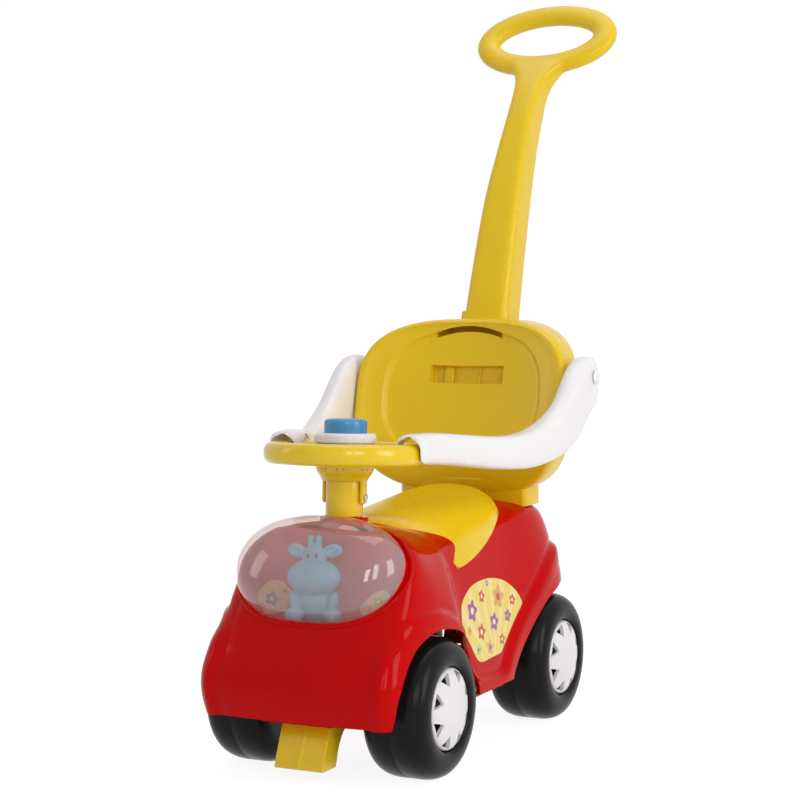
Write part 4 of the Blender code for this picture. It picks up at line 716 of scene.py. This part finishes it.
def make_dome(surface):
    """The bubble: steep at its edge and flatter on top, seated inside a bead of the hood."""
    rings = []
    for share in (1.0, 0.997, 0.99, 0.975, 0.95, 0.91, 0.86, 0.79, 0.7, 0.6, 0.49, 0.37, 0.25,
                  0.12, 0.03):
        rise = Vector((0, 0, DOME_HEIGHT * (1 - share ** 2.5) ** (1 / 2.3)))
        rings.append([point * share + rise for point in egg_ring(2.2, 0)])
    shape = lofted(rings, capped=False)
    bmesh.ops.contextual_create(shape, geom=[v for v in shape.verts if v.co.xy.length < 4])
    shape = walled(moved(faced(tidy(shape)), DOME_PLACE), 1.8)
    make_piece("clear_bubble", shape, CLEAR, "chassis", ["dome"], sharp=50)

    inward = DOME_PLACE.to_3x3() @ Vector((0, 0, -1))
    path = []
    for low, high in zip(egg_ring(4.6, 0, BEAD_STEPS), egg_ring(4.6, 60, BEAD_STEPS)):
        hit = surface.ray_cast(DOME_PLACE @ high, inward)[0] or DOME_PLACE @ low
        path.append(hit + inward * 0.3)
    rings = []
    for i, centre in enumerate(path):
        along = (path[(i + 1) % BEAD_STEPS] - path[i - 1]).normalized()
        across = along.cross(inward).normalized()
        rings.append(section(centre, across, along.cross(across), 2.9, 2.5, 2.0, 16))
    bead = lofted(rings, capped=False, ring_shape=True)
    make_piece("hood_bead", bead, RED, "chassis", ["body_shell"], sharp=60)


# Seat

# Lines from the middle out to the edge, from front to rear
SEAT_LINES = (
    ((0, -97, 258.6), (14, -96, 258.2), (40, -86, 253), (80, -78, 235), (99, -70, 209.5)),
    ((0, -84, 264.2), (19, -83, 264), (48, -75, 257.5), (86, -68, 232), (99.6, -62, 210.2)),
    ((0, -64, 265.6), (25, -63, 265.6), (58, -61, 258.6), (89, -56, 230), (100, -50, 211.5)),
    ((0, -15, 266.5), (28, -15, 266.6), (66, -15, 260), (91, -13, 233), (97, -11, 218)),
    ((0, 40, 269.5), (28, 40, 269.8), (64, 40, 264), (86, 40, 246), (90, 40, 232)),
    ((0, 85, 275.5), (26, 85, 275.5), (55, 85, 270.5), (74, 84, 259), (79, 84, 248)),
    ((0, 113, 282.5), (24, 113, 281), (47, 111, 275), (63, 109, 264), (68, 108, 254)),
    ((0, 133, 280), (22, 132.5, 278.5), (42, 129, 272), (55, 123, 262), (60, 121, 253)),
    ((0, 137, 250), (21, 136.5, 250), (38, 133.5, 249.5), (49, 128, 249), (54, 126, 248.5)),
)


def make_seat():
    shape = walled(smoothed(mirrored_sheet(SEAT_LINES), 4), WALL)
    make_piece("saddle", shape, YELLOW, "chassis", ["seat"], sharp=50)


# Backrest

BACK_STEPS = 112
BACK_MIDDLE = 385
BACK_LEAN = 0.23
PANEL_HEIGHT = 409.5


def back_face(x, z):
    """How far back the front face lies at a point of the backrest."""
    lean = BACK_LEAN * (z - 330) if z > 330 else 0.0033 * (330 - z) ** 2
    return 149 + lean - 0.0012 * x * x


def outline_point(turn, share):
    """A point on the outline of the backrest, which reaches lower than it rises."""
    height = 91 if sin(turn) >= 0 else 121
    return rounded(turn, 138 * share, height * share, 3.0)


def pad_point(turn, share):
    """A point on the outline of the raised oval pad."""
    height = 75 if sin(turn) >= 0 else 78
    return rounded(turn, 101 * share, height * share, 2.6)


def back_ring(pad_share, outline_share, blend_share, push):
    """A ring between the oval pad, at blend 0, and the outer outline, at blend 1."""
    ring = []
    for i in range(BACK_STEPS):
        turn = 2 * pi * i / BACK_STEPS
        near, far = pad_point(turn, pad_share), outline_point(turn, outline_share)
        x, z = (near[k] * (1 - blend_share) + far[k] * blend_share for k in (0, 1))
        z += BACK_MIDDLE
        extra = push(turn) if callable(push) else push
        ring.append((x, back_face(x, z) + extra, z))
    return ring


def rim_depth(turn):
    """How deep the rim is: deeper at the top, around the socket of the handle."""
    return 43 + 17 * max(0.0, sin(turn)) ** 6


def off_middle(point):
    """How far a point lies from the backrest's middle in the front view."""
    return hypot(point.x, point.z - BACK_MIDDLE)


def back_shell():
    rings = [back_ring(share, 1, 0, 5 * (1 - share ** 2 * 0.4))
             for share in (0.04, 0.2, 0.4, 0.6, 0.8, 0.93, 0.985)]
    rings += [back_ring(share, 1, 0, push) for share, push in
              ((1.005, 2.6), (1.02, 0.6), (1.03, -0.2), (1.05, -0.5))]
    rings += [back_ring(1.06, 0.96, share, -0.6 - 3 * share ** 2) for share in (0.2, 0.4, 0.6, 0.8)]
    rings += [back_ring(1, share, 1, push) for share, push in
              ((0.955, -3.6), (0.97, -3.0), (0.984, -1.2), (0.994, 1.8), (0.999, 6.0), (1.0, 12.0),
               (0.997, 24.0), (0.99, lambda turn: rim_depth(turn) - 8), (0.985, rim_depth))]
    shape = lofted(rings, capped=False)
    bmesh.ops.contextual_create(shape, geom=[v for v in shape.verts if off_middle(v.co) < 5])
    tidy(shape)
    middle = min(shape.faces, key=lambda face: off_middle(face.calc_center_median()))
    if middle.normal.y > 0:
        bmesh.ops.reverse_faces(shape, faces=shape.faces)
    return walled(shape, WALL)


# Y, Z and the half sizes of the handle's shaft, from its foot in the socket up to the loop
HANDLE_LINE = (
    (212, 380, 28.5, 25.5), (228.5, 427, 28.7, 25.7), (245.6, 476, 29, 26), (270, 551, 27, 25),
    (297.5, 624, 24.3, 24), (330, 690, 20, 22.6), (355, 734, 18, 21.4), (371, 762, 18.6, 18.5),
    (383, 780, 23.5, 15.5), (393, 794, 33, 12.5), (400.5, 803.5, 44, 10), (404, 808, 50, 8),
)


def handle_rings(line, grow=0.0):
    """Sections square to a line of the shaft, each made larger all round."""
    rings = []
    for i, (y, z, half_width, half_depth) in enumerate(line):
        before, after = line[max(i - 1, 0)], line[min(i + 1, len(line) - 1)]
        along = Vector((0, after[0] - before[0], after[1] - before[1])).normalized()
        across = Vector((1, 0, 0))
        rings.append(section((0, y, z), across, along.cross(across), half_width + grow,
                             half_depth + grow, 6.0, 40))
    return rings


def pivot_rod(radius, sign, near, far):
    """A rod on the axis of a guard arm, on one side of the car."""
    return rod(radius, (sign * near, *PIVOT), (sign * far, *PIVOT))


def make_backrest():
    tilt = Matrix.Translation((0, back_face(0, PANEL_HEIGHT), PANEL_HEIGHT)) @ Matrix.Rotation(
        -atan(BACK_LEAN), 4, "X")
    socket = lofted(handle_rings(HANDLE_LINE[:3], 3.4))
    bore = lofted(handle_rings([(217.5, 383.5, 28.5, 25.5), HANDLE_LINE[1],
                                (257, 507, 28.5, 25.8)], 0.5))
    adds = [block((-84, 153, 248), (84, 197, 287), 6, 4), socket,
            moved(block((-51, 5.8, -13), (51, 18.5, 13)), tilt)]
    for x, low, high, off, far in ((24, 388, 450, 6, 212), (49, 448, 471, 2, 236)):
        web = [(back_face(x, low) + off, low), (far, low), (far, high),
               (back_face(x, high) + off, high)]
        adds += [slab(web, side - 1.5, side + 1.5) for side in (x, -x)]
    adds += [block((-50, 227, 448), (-30, 230, 472)), block((30, 227, 448), (50, 230, 472))]
    adds += [pivot_rod(11, sign, 133.5, 138.6) for sign in (1, -1)]
    adds += [moved(block((low, 1, -13), (low + 2.6, 9, 13)), tilt) for low in (-51.2, 48.6)]
    arc = [radians(64 + 52 * i / 24) for i in range(25)]
    slot = [(100 * cos(turn), BACK_MIDDLE + height * sin(turn))
            for height, turns in ((82.5, arc), (75.2, arc[::-1])) for turn in turns]
    shell = combined(cut(back_shell(), [slab(slot, 150, 200, "Y")], True), adds)
    shell = cut(shell, [
        block((-80, 157, 200), (80, 193, 282), 4, 3), bore,
        *[pivot_rod(PIN_HOLE, sign, 127, 170) for sign in (1, -1)],
        moved(block((-48.5, -20, -11), (48.5, 16.5, 11), 1.6, 3), tilt),
        block((-90, 140, 200), (90, 210, 253))])
    ribs = [moved(block((-35, 11.5, -11.6), (-22, 17, 11.6), 1.5), tilt),
            moved(block((10.5, 13.5, -11.6), (13.5, 17, 11.6), 1.0), tilt)]
    make_piece("backrest_moulding", combined(shell, ribs), YELLOW, "chassis", ["backrest"],
               sharp=45)


# Guard arms

# The middle of the arm on the left side, and its half sizes, from behind the pivot to the tip
ARM_LINE = (
    ((150.5, 197, 398), 5, 15), ((151.5, 193, 398), 10, 25), ((152.3, 184, 399), 13, 31.5),
    ((152.5, 168, 400), 13.6, 35), ((152.5, 152, 394), 13.6, 35), ((152.5, 137, 381), 13.6, 33.5),
    ((152.3, 119, 365), 13.8, 31.5), ((150.5, 99, 351), 14.3, 29), ((146.5, 68, 340.5), 15, 24.5),
    ((138.5, 34, 331.5), 15.5, 21), ((124, 0, 330), 15.5, 19), ((110, -38, 334.5), 15.5, 18),
    ((96, -75, 339.5), 16, 17.5), ((85, -105, 343), 17.5, 17.5), ((77.5, -130, 343.5), 18.5, 17),
    ((77, -147, 343), 18, 16.5),
)


def make_arm(side, sign):
    rings = []
    for i, (centre, half_width, half_height) in enumerate(ARM_LINE):
        before = Vector(ARM_LINE[max(i - 1, 0)][0])
        after = Vector(ARM_LINE[min(i + 1, len(ARM_LINE) - 1)][0])
        along = (after - before).normalized()
        across = (Vector((1, 0, 0)) - along * along.x).normalized()
        ring = section(centre, across, along.cross(across), half_width, half_height, 3.2, 20)
        rings.append([(sign * point.x, point.y, point.z) for point in ring])
    groove = softened([(91.7, 276), (79, 283), (75, 283), (62.3, 276), (62.3, 222), (91.7, 222)],
                      8, 6, True)
    arm = cut(smoothed(lofted(rings), 2), [pivot_rod(PIN_HOLE, sign, 130, 180),
                                           moved(turned(groove, 120), COLUMN_IN_CAR)])
    make_piece(f"guard_arm_{side}", arm, WHITE, f"guard_{side}", [f"arm_{side}"],
               sharp=45)
    pin = softened([(0, 170.3), (6, 169.9), (9, 167.3), (5, 167.3), (5, 129), (0, 129)], 0.8, 3)
    place = CAR @ Matrix.Translation((0, *PIVOT)) @ Matrix.Rotation(sign * pi / 2, 4, "Y")
    make_piece(f"pivot_pin_{side}", turned(pin, 48, False), WHITE, "chassis",
               [f"arm_pin_{side}"], place)


# Push handle

LOOP_STEPS = 72
LOOP_HALF_WIDTH, LOOP_HALF_HEIGHT = 82, 44


def make_handle():
    """The shaft, with its foot a little above the socket's floor, and the loop on top."""
    line = smooth_line(HANDLE_LINE, 3)
    y, z, *half_sizes = HANDLE_LINE[0]
    line[0] = (y + 1.3, z + 3.6, *half_sizes)
    up = Vector((0, sin(radians(37)), cos(radians(37))))
    across = Vector((1, 0, 0))
    rings = []
    for i in range(LOOP_STEPS):
        turn = 2 * pi * i / LOOP_STEPS
        centre = (Vector((0, 427, 838)) + across * LOOP_HALF_WIDTH * cos(turn)
                  + up * LOOP_HALF_HEIGHT * sin(turn))
        outward = (across * cos(turn) / LOOP_HALF_WIDTH
                   + up * sin(turn) / LOOP_HALF_HEIGHT).normalized()
        rings.append(section(centre, outward, up.cross(across), 16 - 1.5 * abs(sin(turn)), 10.5,
                             2.4, 24))
    loop = lofted(rings, capped=False, ring_shape=True)
    handle = cut(melted(together([lofted(handle_rings(line)), loop]), 1.4, 16),
                 [rod(SCREW_HOLE, (0, 200, 417), (0, 260, 437), 24)])
    make_piece("handle_moulding", handle, YELLOW, "chassis", ["push_handle"],
               sharp=80)


# Foot

def make_foot():
    side = smooth_line([(-222, 18), (-219.5, 24), (-215, 37), (-206, 50), (-194, 57.5),
                        (-180, 60.5)], 4)
    outline = [(-250.5, 20), (-249, 18)] + side + [(-180, 66.4), (-229, 66.4), (-235, 56),
                                                   (-244, 36)]
    rib = [(-228, 64), (-231.5, 64), (-237, 54), (-246, 35), (-252, 22), (-247, 22)]
    hollow = [(-243, 21), (-238, 36), (-228, 58.4), (-150, 58.4), (-150, 21)]
    foot = combined(slab(outline, -28.7, 28.7), [slab(rib, -1.6, 1.6)])
    foot = cut(foot, [slab(hollow, -25.7, 25.7)])
    make_piece("nose_foot", foot, YELLOW_GLOSS, "chassis", ["anti_tip_foot"],
               sharp=40, finish=edge_bevel(0.9, 40, 3))


# Toy under the bubble

TOY = CAR @ Matrix.Translation((-7, -198, 163.3)) @ Matrix.Rotation(radians(16), 4, "Z")


def make_toy():
    """A seated young animal: wide muzzle, cupped ears, two knobs between them."""
    def lean(angle):
        return Matrix.Rotation(radians(angle), 3, "Y")

    parts = [ball((0, 2, 20), (21, 15, 22)), ball((0, -4, 49), (29, 20, 19.5)),
             ball((0, 0, 68), (12.5, 12, 15.5))]
    for sign in (1, -1):
        parts += [ball((sign * 19, 1, 76), (11, 4.6, 7.6), lean(sign * -16)),
                  rod(3.1, (sign * 4.2, 1, 78), (sign * 4.4, 1, 89), 20, 3.4),
                  ball((sign * 4.4, 1, 89.6), (3.7, 3.7, 3.2)),
                  ball((sign * 20, -5, 22), (6.5, 8, 12.5), lean(sign * 12)),
                  ball((sign * 21, -10, 8.5), (10, 12, 9))]
    body = melted(together(parts), 0.9, 4)
    dents = [ball((sign * 20, -4.6, 76.3), (8, 4, 4.8), lean(sign * -16)) for sign in (1, -1)]
    dents += [ball((sign * 5, -23.2, 53.5), (1.1, 1.6, 1.4)) for sign in (1, -1)]
    smile = [Vector((13 * sin(t), -22.6 + 5 * abs(sin(t)) ** 2, 43.5 - 4 * cos(t)))
             for t in [radians(-50 + 5 * i) for i in range(21)]]
    dents += [rod(0.7, a, b, 8) for a, b in zip(smile, smile[1:])]
    body = cut(body, [together(dents)], True)
    bmesh.ops.delete(body, geom=[v for v in body.verts if v.co.z < -1], context="VERTS")
    bmesh.ops.bisect_plane(body, geom=everything(body), plane_co=(0, 0, 0), plane_no=(0, 0, -1),
                           clear_outer=True)
    bmesh.ops.holes_fill(body, edges=body.edges, sides=0)
    make_piece("toy_figure", body, VINYL, "chassis", ["toy_animal"], TOY, 40)
    eyes = [ball((sign * 4.4, -11, 72.4), (1.8, 1.2, 2.4)) for sign in (1, -1)]
    make_piece("toy_eyes", together(eyes), INK, "chassis", (), TOY)


# Printed stickers

PURPLE, RED_INK, CREAM, TAN, GREEN = "#9A4FA0", "#C8443C", "#F3E3A0", "#D9A558", "#B9C46A"
RAYS, PETALS = 22.0, 5.0
FILM_GRID = 3


def sticker_pattern(name, ground, rays, flowers, middle, axis="Y", shift=0.0):
    """Printed vinyl film: pale rays from one point and a scatter of five-petalled flowers.

    Each flower is its place in millimetres along the axis and up, its radius and two colours."""
    material, tree, shader = start_material(name)
    place = add_node(tree, "ShaderNodeSeparateXYZ", {"Vector": place_nodes(tree)})

    def off(point):
        """How far the shaded spot lies from a point, along the axis and up."""
        return (maths(tree, "SUBTRACT", place.outputs[axis], point[0] * MILLIMETRE + shift),
                maths(tree, "SUBTRACT", place.outputs["Z"], point[1] * MILLIMETRE))

    def times(first, second):
        return maths(tree, "MULTIPLY", first, second)

    across, up = off(middle)
    waves = maths(tree, "SINE", times(maths(tree, "ARCTAN2", up, across), RAYS))
    colour = blend(tree, maths(tree, "GREATER_THAN", waves, 0.25), linear(ground), linear(rays))
    for *spot, size, petals, heart in flowers:
        across, up = off(spot)
        radius = size * MILLIMETRE
        reach = maths(tree, "SQRT", maths(tree, "ADD", times(across, across), times(up, up)))
        turn = times(maths(tree, "ARCTAN2", up, across), PETALS)
        lobes = times(maths(tree, "COSINE", turn), radius * 0.17)
        for limit, tone in ((maths(tree, "ADD", lobes, radius * 0.8), petals),
                            (radius * 0.3, heart)):
            colour = blend(tree, maths(tree, "LESS_THAN", reach, limit), colour, linear(tone))
    feed(tree, shader, {"Base Color": colour, "Roughness": 0.3})
    return material


def film_on(surface, outline, sign):
    """A thin film of an outline in Y and Z, laid on one side of a surface.

    It is cut to a fine grid before it is laid, so that it follows the surface."""
    shape = bmesh.new()
    shape.faces.new([shape.verts.new((sign * 400, y, z)) for y, z in outline])
    for axis in (1, 2):
        values = [vertex.co[axis] for vertex in shape.verts]
        value = min(values) + FILM_GRID
        while value < max(values):
            centre, normal = [0, 0, 0], [0, 0, 0]
            centre[axis], normal[axis] = value, 1
            bmesh.ops.bisect_plane(shape, geom=everything(shape), plane_co=centre,
                                   plane_no=normal)
            value += FILM_GRID
    way = Vector((-sign, 0, 0))
    for vertex in shape.verts:
        hit = surface.ray_cast(vertex.co, way)[0]
        if hit:
            vertex.co = hit - way * 0.3
    bmesh.ops.delete(shape, geom=[v for v in shape.verts if abs(v.co.x) > 300], context="VERTS")
    bmesh.ops.recalc_face_normals(shape, faces=shape.faces)
    return walled(faced(shape, -way), 0.2)


def make_side_stickers(surface):
    """Films cut to an egg with straight lower edges, on the body's sides between the arches."""
    flowers = (
        (-48, 160, 13, PURPLE, CREAM), (-20, 172, 8, RED_INK, CREAM), (20, 166, 14, TAN, RED_INK),
        (-30, 134, 10, RED_INK, CREAM), (4, 140, 11, PURPLE, CREAM), (38, 142, 8, PURPLE, TAN),
        (-42, 116, 7, GREEN, PURPLE), (-12, 114, 9, TAN, PURPLE), (20, 118, 7, RED_INK, CREAM),
        (52, 158, 7, RED_INK, CREAM), (-2, 184, 4, PURPLE, CREAM), (-60, 140, 6, TAN, RED_INK))
    film = sticker_pattern("printed_vinyl_film", "#E9CF66", "#EBD98C", flowers, (0, 90),
                           shift=CAR_SHIFT)
    outline = smooth_line([(-14, 102.5), (-43, 103.6), (-61, 124.8), (-74.8, 143.6), (-77, 155),
                           (-73.4, 169), (-60.6, 178.6), (-37, 187), (0, 189), (35, 183),
                           (60, 169.5), (72, 156)], 6)
    outline = softened(outline + [(74.5, 150), (14.5, 103.5)], 1.5, 3, True)
    for side, sign in SIDES:
        make_piece(f"side_sticker_{side}", film_on(surface, outline, sign), film, "chassis",
                   sharp=40)


def make_well_stickers():
    """Two small films on the back wall of the well, seen through the bubble."""
    right = [(-96.8, 178), (-90, 189.5), (-77.6, 200), (-62.5, 202), (-50, 192), (-46.6, 183.6),
             (-56.8, 167.7), (-75.7, 164.5), (-93, 164.5)]
    left = [(32.4, 176), (41, 187), (53, 196.4), (64.7, 199), (73, 189), (60, 173.5), (41, 165)]
    prints = (
        ("right", right, "#E9C173", "#EDCB86", (-60, 150), (
            (-74, 181, 9, "#8E7A86", CREAM), (-57, 190, 4, TAN, RED_INK),
            (-86, 172, 4, "#B98C5C", CREAM))),
        ("left", left, "#D8D08C", "#DDD79C", (40, 150), (
            (56, 186, 6, GREEN, CREAM), (46, 177, 3.5, TAN, CREAM))))
    for side, outline, ground, rays, middle, flowers in prints:
        film = sticker_pattern(f"printed_well_film_{side}", ground, rays, flowers, middle, "X")
        shape = slab(softened(outline, 5, 5, True), -174.5, -174.1, "Y")
        make_piece(f"well_sticker_{side}", shape, film, "chassis", sharp=30)


# Floor, light and camera

LAMPS = (
    ("softbox_right", (2.6, -0.3, 1.2), (0, 0, 0.35), (1.0, 1.6), 26),
    ("softbox_left", (-2.2, -1.2, 1.2), (0, 0, 0.35), (0.5, 1.2), 4),
    ("softbox_top", (0.0, 0.3, 2.6), (0, 0, 0.3), (1.6, 1.6), 15),
    ("strip_near", (1.45, -2.4, 1.3), (0, -0.2, 0.3), (0.32, 1.0), 8),
    ("strip_far", (2.05, -2.05, 1.5), (0, -0.2, 0.3), (0.4, 1.3), 11),
)


def seen_rays(tree):
    """1 for the rays that show a thing in the picture, in a gloss or through the bubble."""
    rays = add_node(tree, "ShaderNodeLightPath").outputs
    seen = maths(tree, "MAXIMUM", rays["Is Camera Ray"], rays["Is Glossy Ray"])
    return maths(tree, "MAXIMUM", seen, rays["Is Transmission Ray"])


def make_stage():
    """A floor that keeps the object's shadow and is white otherwise."""
    shape = bmesh.new()
    bmesh.ops.create_grid(shape, x_segments=1, y_segments=1, size=12)
    floor = linked("floor", mesh_of(shape, "floor"))
    material, tree, shader = start_material("pale_studio_floor")
    feed(tree, shader, {"Base Color": linear("#FAFAFA"), "Roughness": 0.7})
    glow = add_node(tree, "ShaderNodeEmission", {"Color": linear("#FFFFFF"), "Strength": 1.25})
    show(tree, mix_shaders(tree, maths(tree, "MULTIPLY", seen_rays(tree), 0.72), shader, glow))
    floor.data.materials.append(material)


def make_world():
    """Air that looks white and lights the object dimly."""
    world = bpy.data.worlds.new("studio_air")
    bpy.context.scene.world = world
    world.use_nodes = True
    tree = world.node_tree
    tree.nodes.clear()
    dim, bright = [add_node(tree, "ShaderNodeBackground", {"Color": linear("#FFFFFF"),
                                                           "Strength": strength})
                   for strength in (0.36, 1.0)]
    mix = mix_shaders(tree, seen_rays(tree), dim, bright)
    add_node(tree, "ShaderNodeOutputWorld", {"Surface": mix.outputs[0]})


def make_lights():
    for name, place, aim, size, power in LAMPS:
        lamp = bpy.data.lights.new(name, "AREA")
        lamp.shape = "RECTANGLE"
        lamp.size, lamp.size_y = size
        lamp.energy = power
        holder = linked(name, lamp)
        holder.location = place
        holder.rotation_euler = (Vector(aim) - Vector(place)).to_track_quat("-Z", "Y").to_euler()


def make_camera():
    """The photo's camera, as it was fitted to the tyres and the body's edges."""
    data = bpy.data.cameras.new("camera")
    data.sensor_width = 36
    data.lens = 87.07
    data.clip_start, data.clip_end = 0.05, 60
    camera = linked("camera", data)
    turn = (Matrix.Rotation(radians(26.94), 4, "Z") @ Matrix.Rotation(radians(90 - 3.37), 4, "X")
            @ Matrix.Rotation(radians(-0.553), 4, "Z"))
    camera.matrix_world = Matrix.Translation((0.99127, -2.05864, 0.51678)) @ turn
    bpy.context.scene.camera = camera


dress_nodes()
for wheel_side, wheel_sign in SIDES:
    make_wheel("front", wheel_side, wheel_sign, FRONT_AXLE)
    make_wheel("rear", wheel_side, wheel_sign, REAR_AXLE)
make_steering_wheel()
make_horn()
body_surface = make_body()
make_well()
make_dome(body_surface)
make_seat()
make_backrest()
for arm_side, arm_sign in SIDES:
    make_arm(arm_side, arm_sign)
make_handle()
make_foot()
make_toy()
make_side_stickers(body_surface)
make_well_stickers()
make_stage()
make_world()
make_lights()
make_camera()
bpy.context.scene.view_settings.view_transform = "Standard"
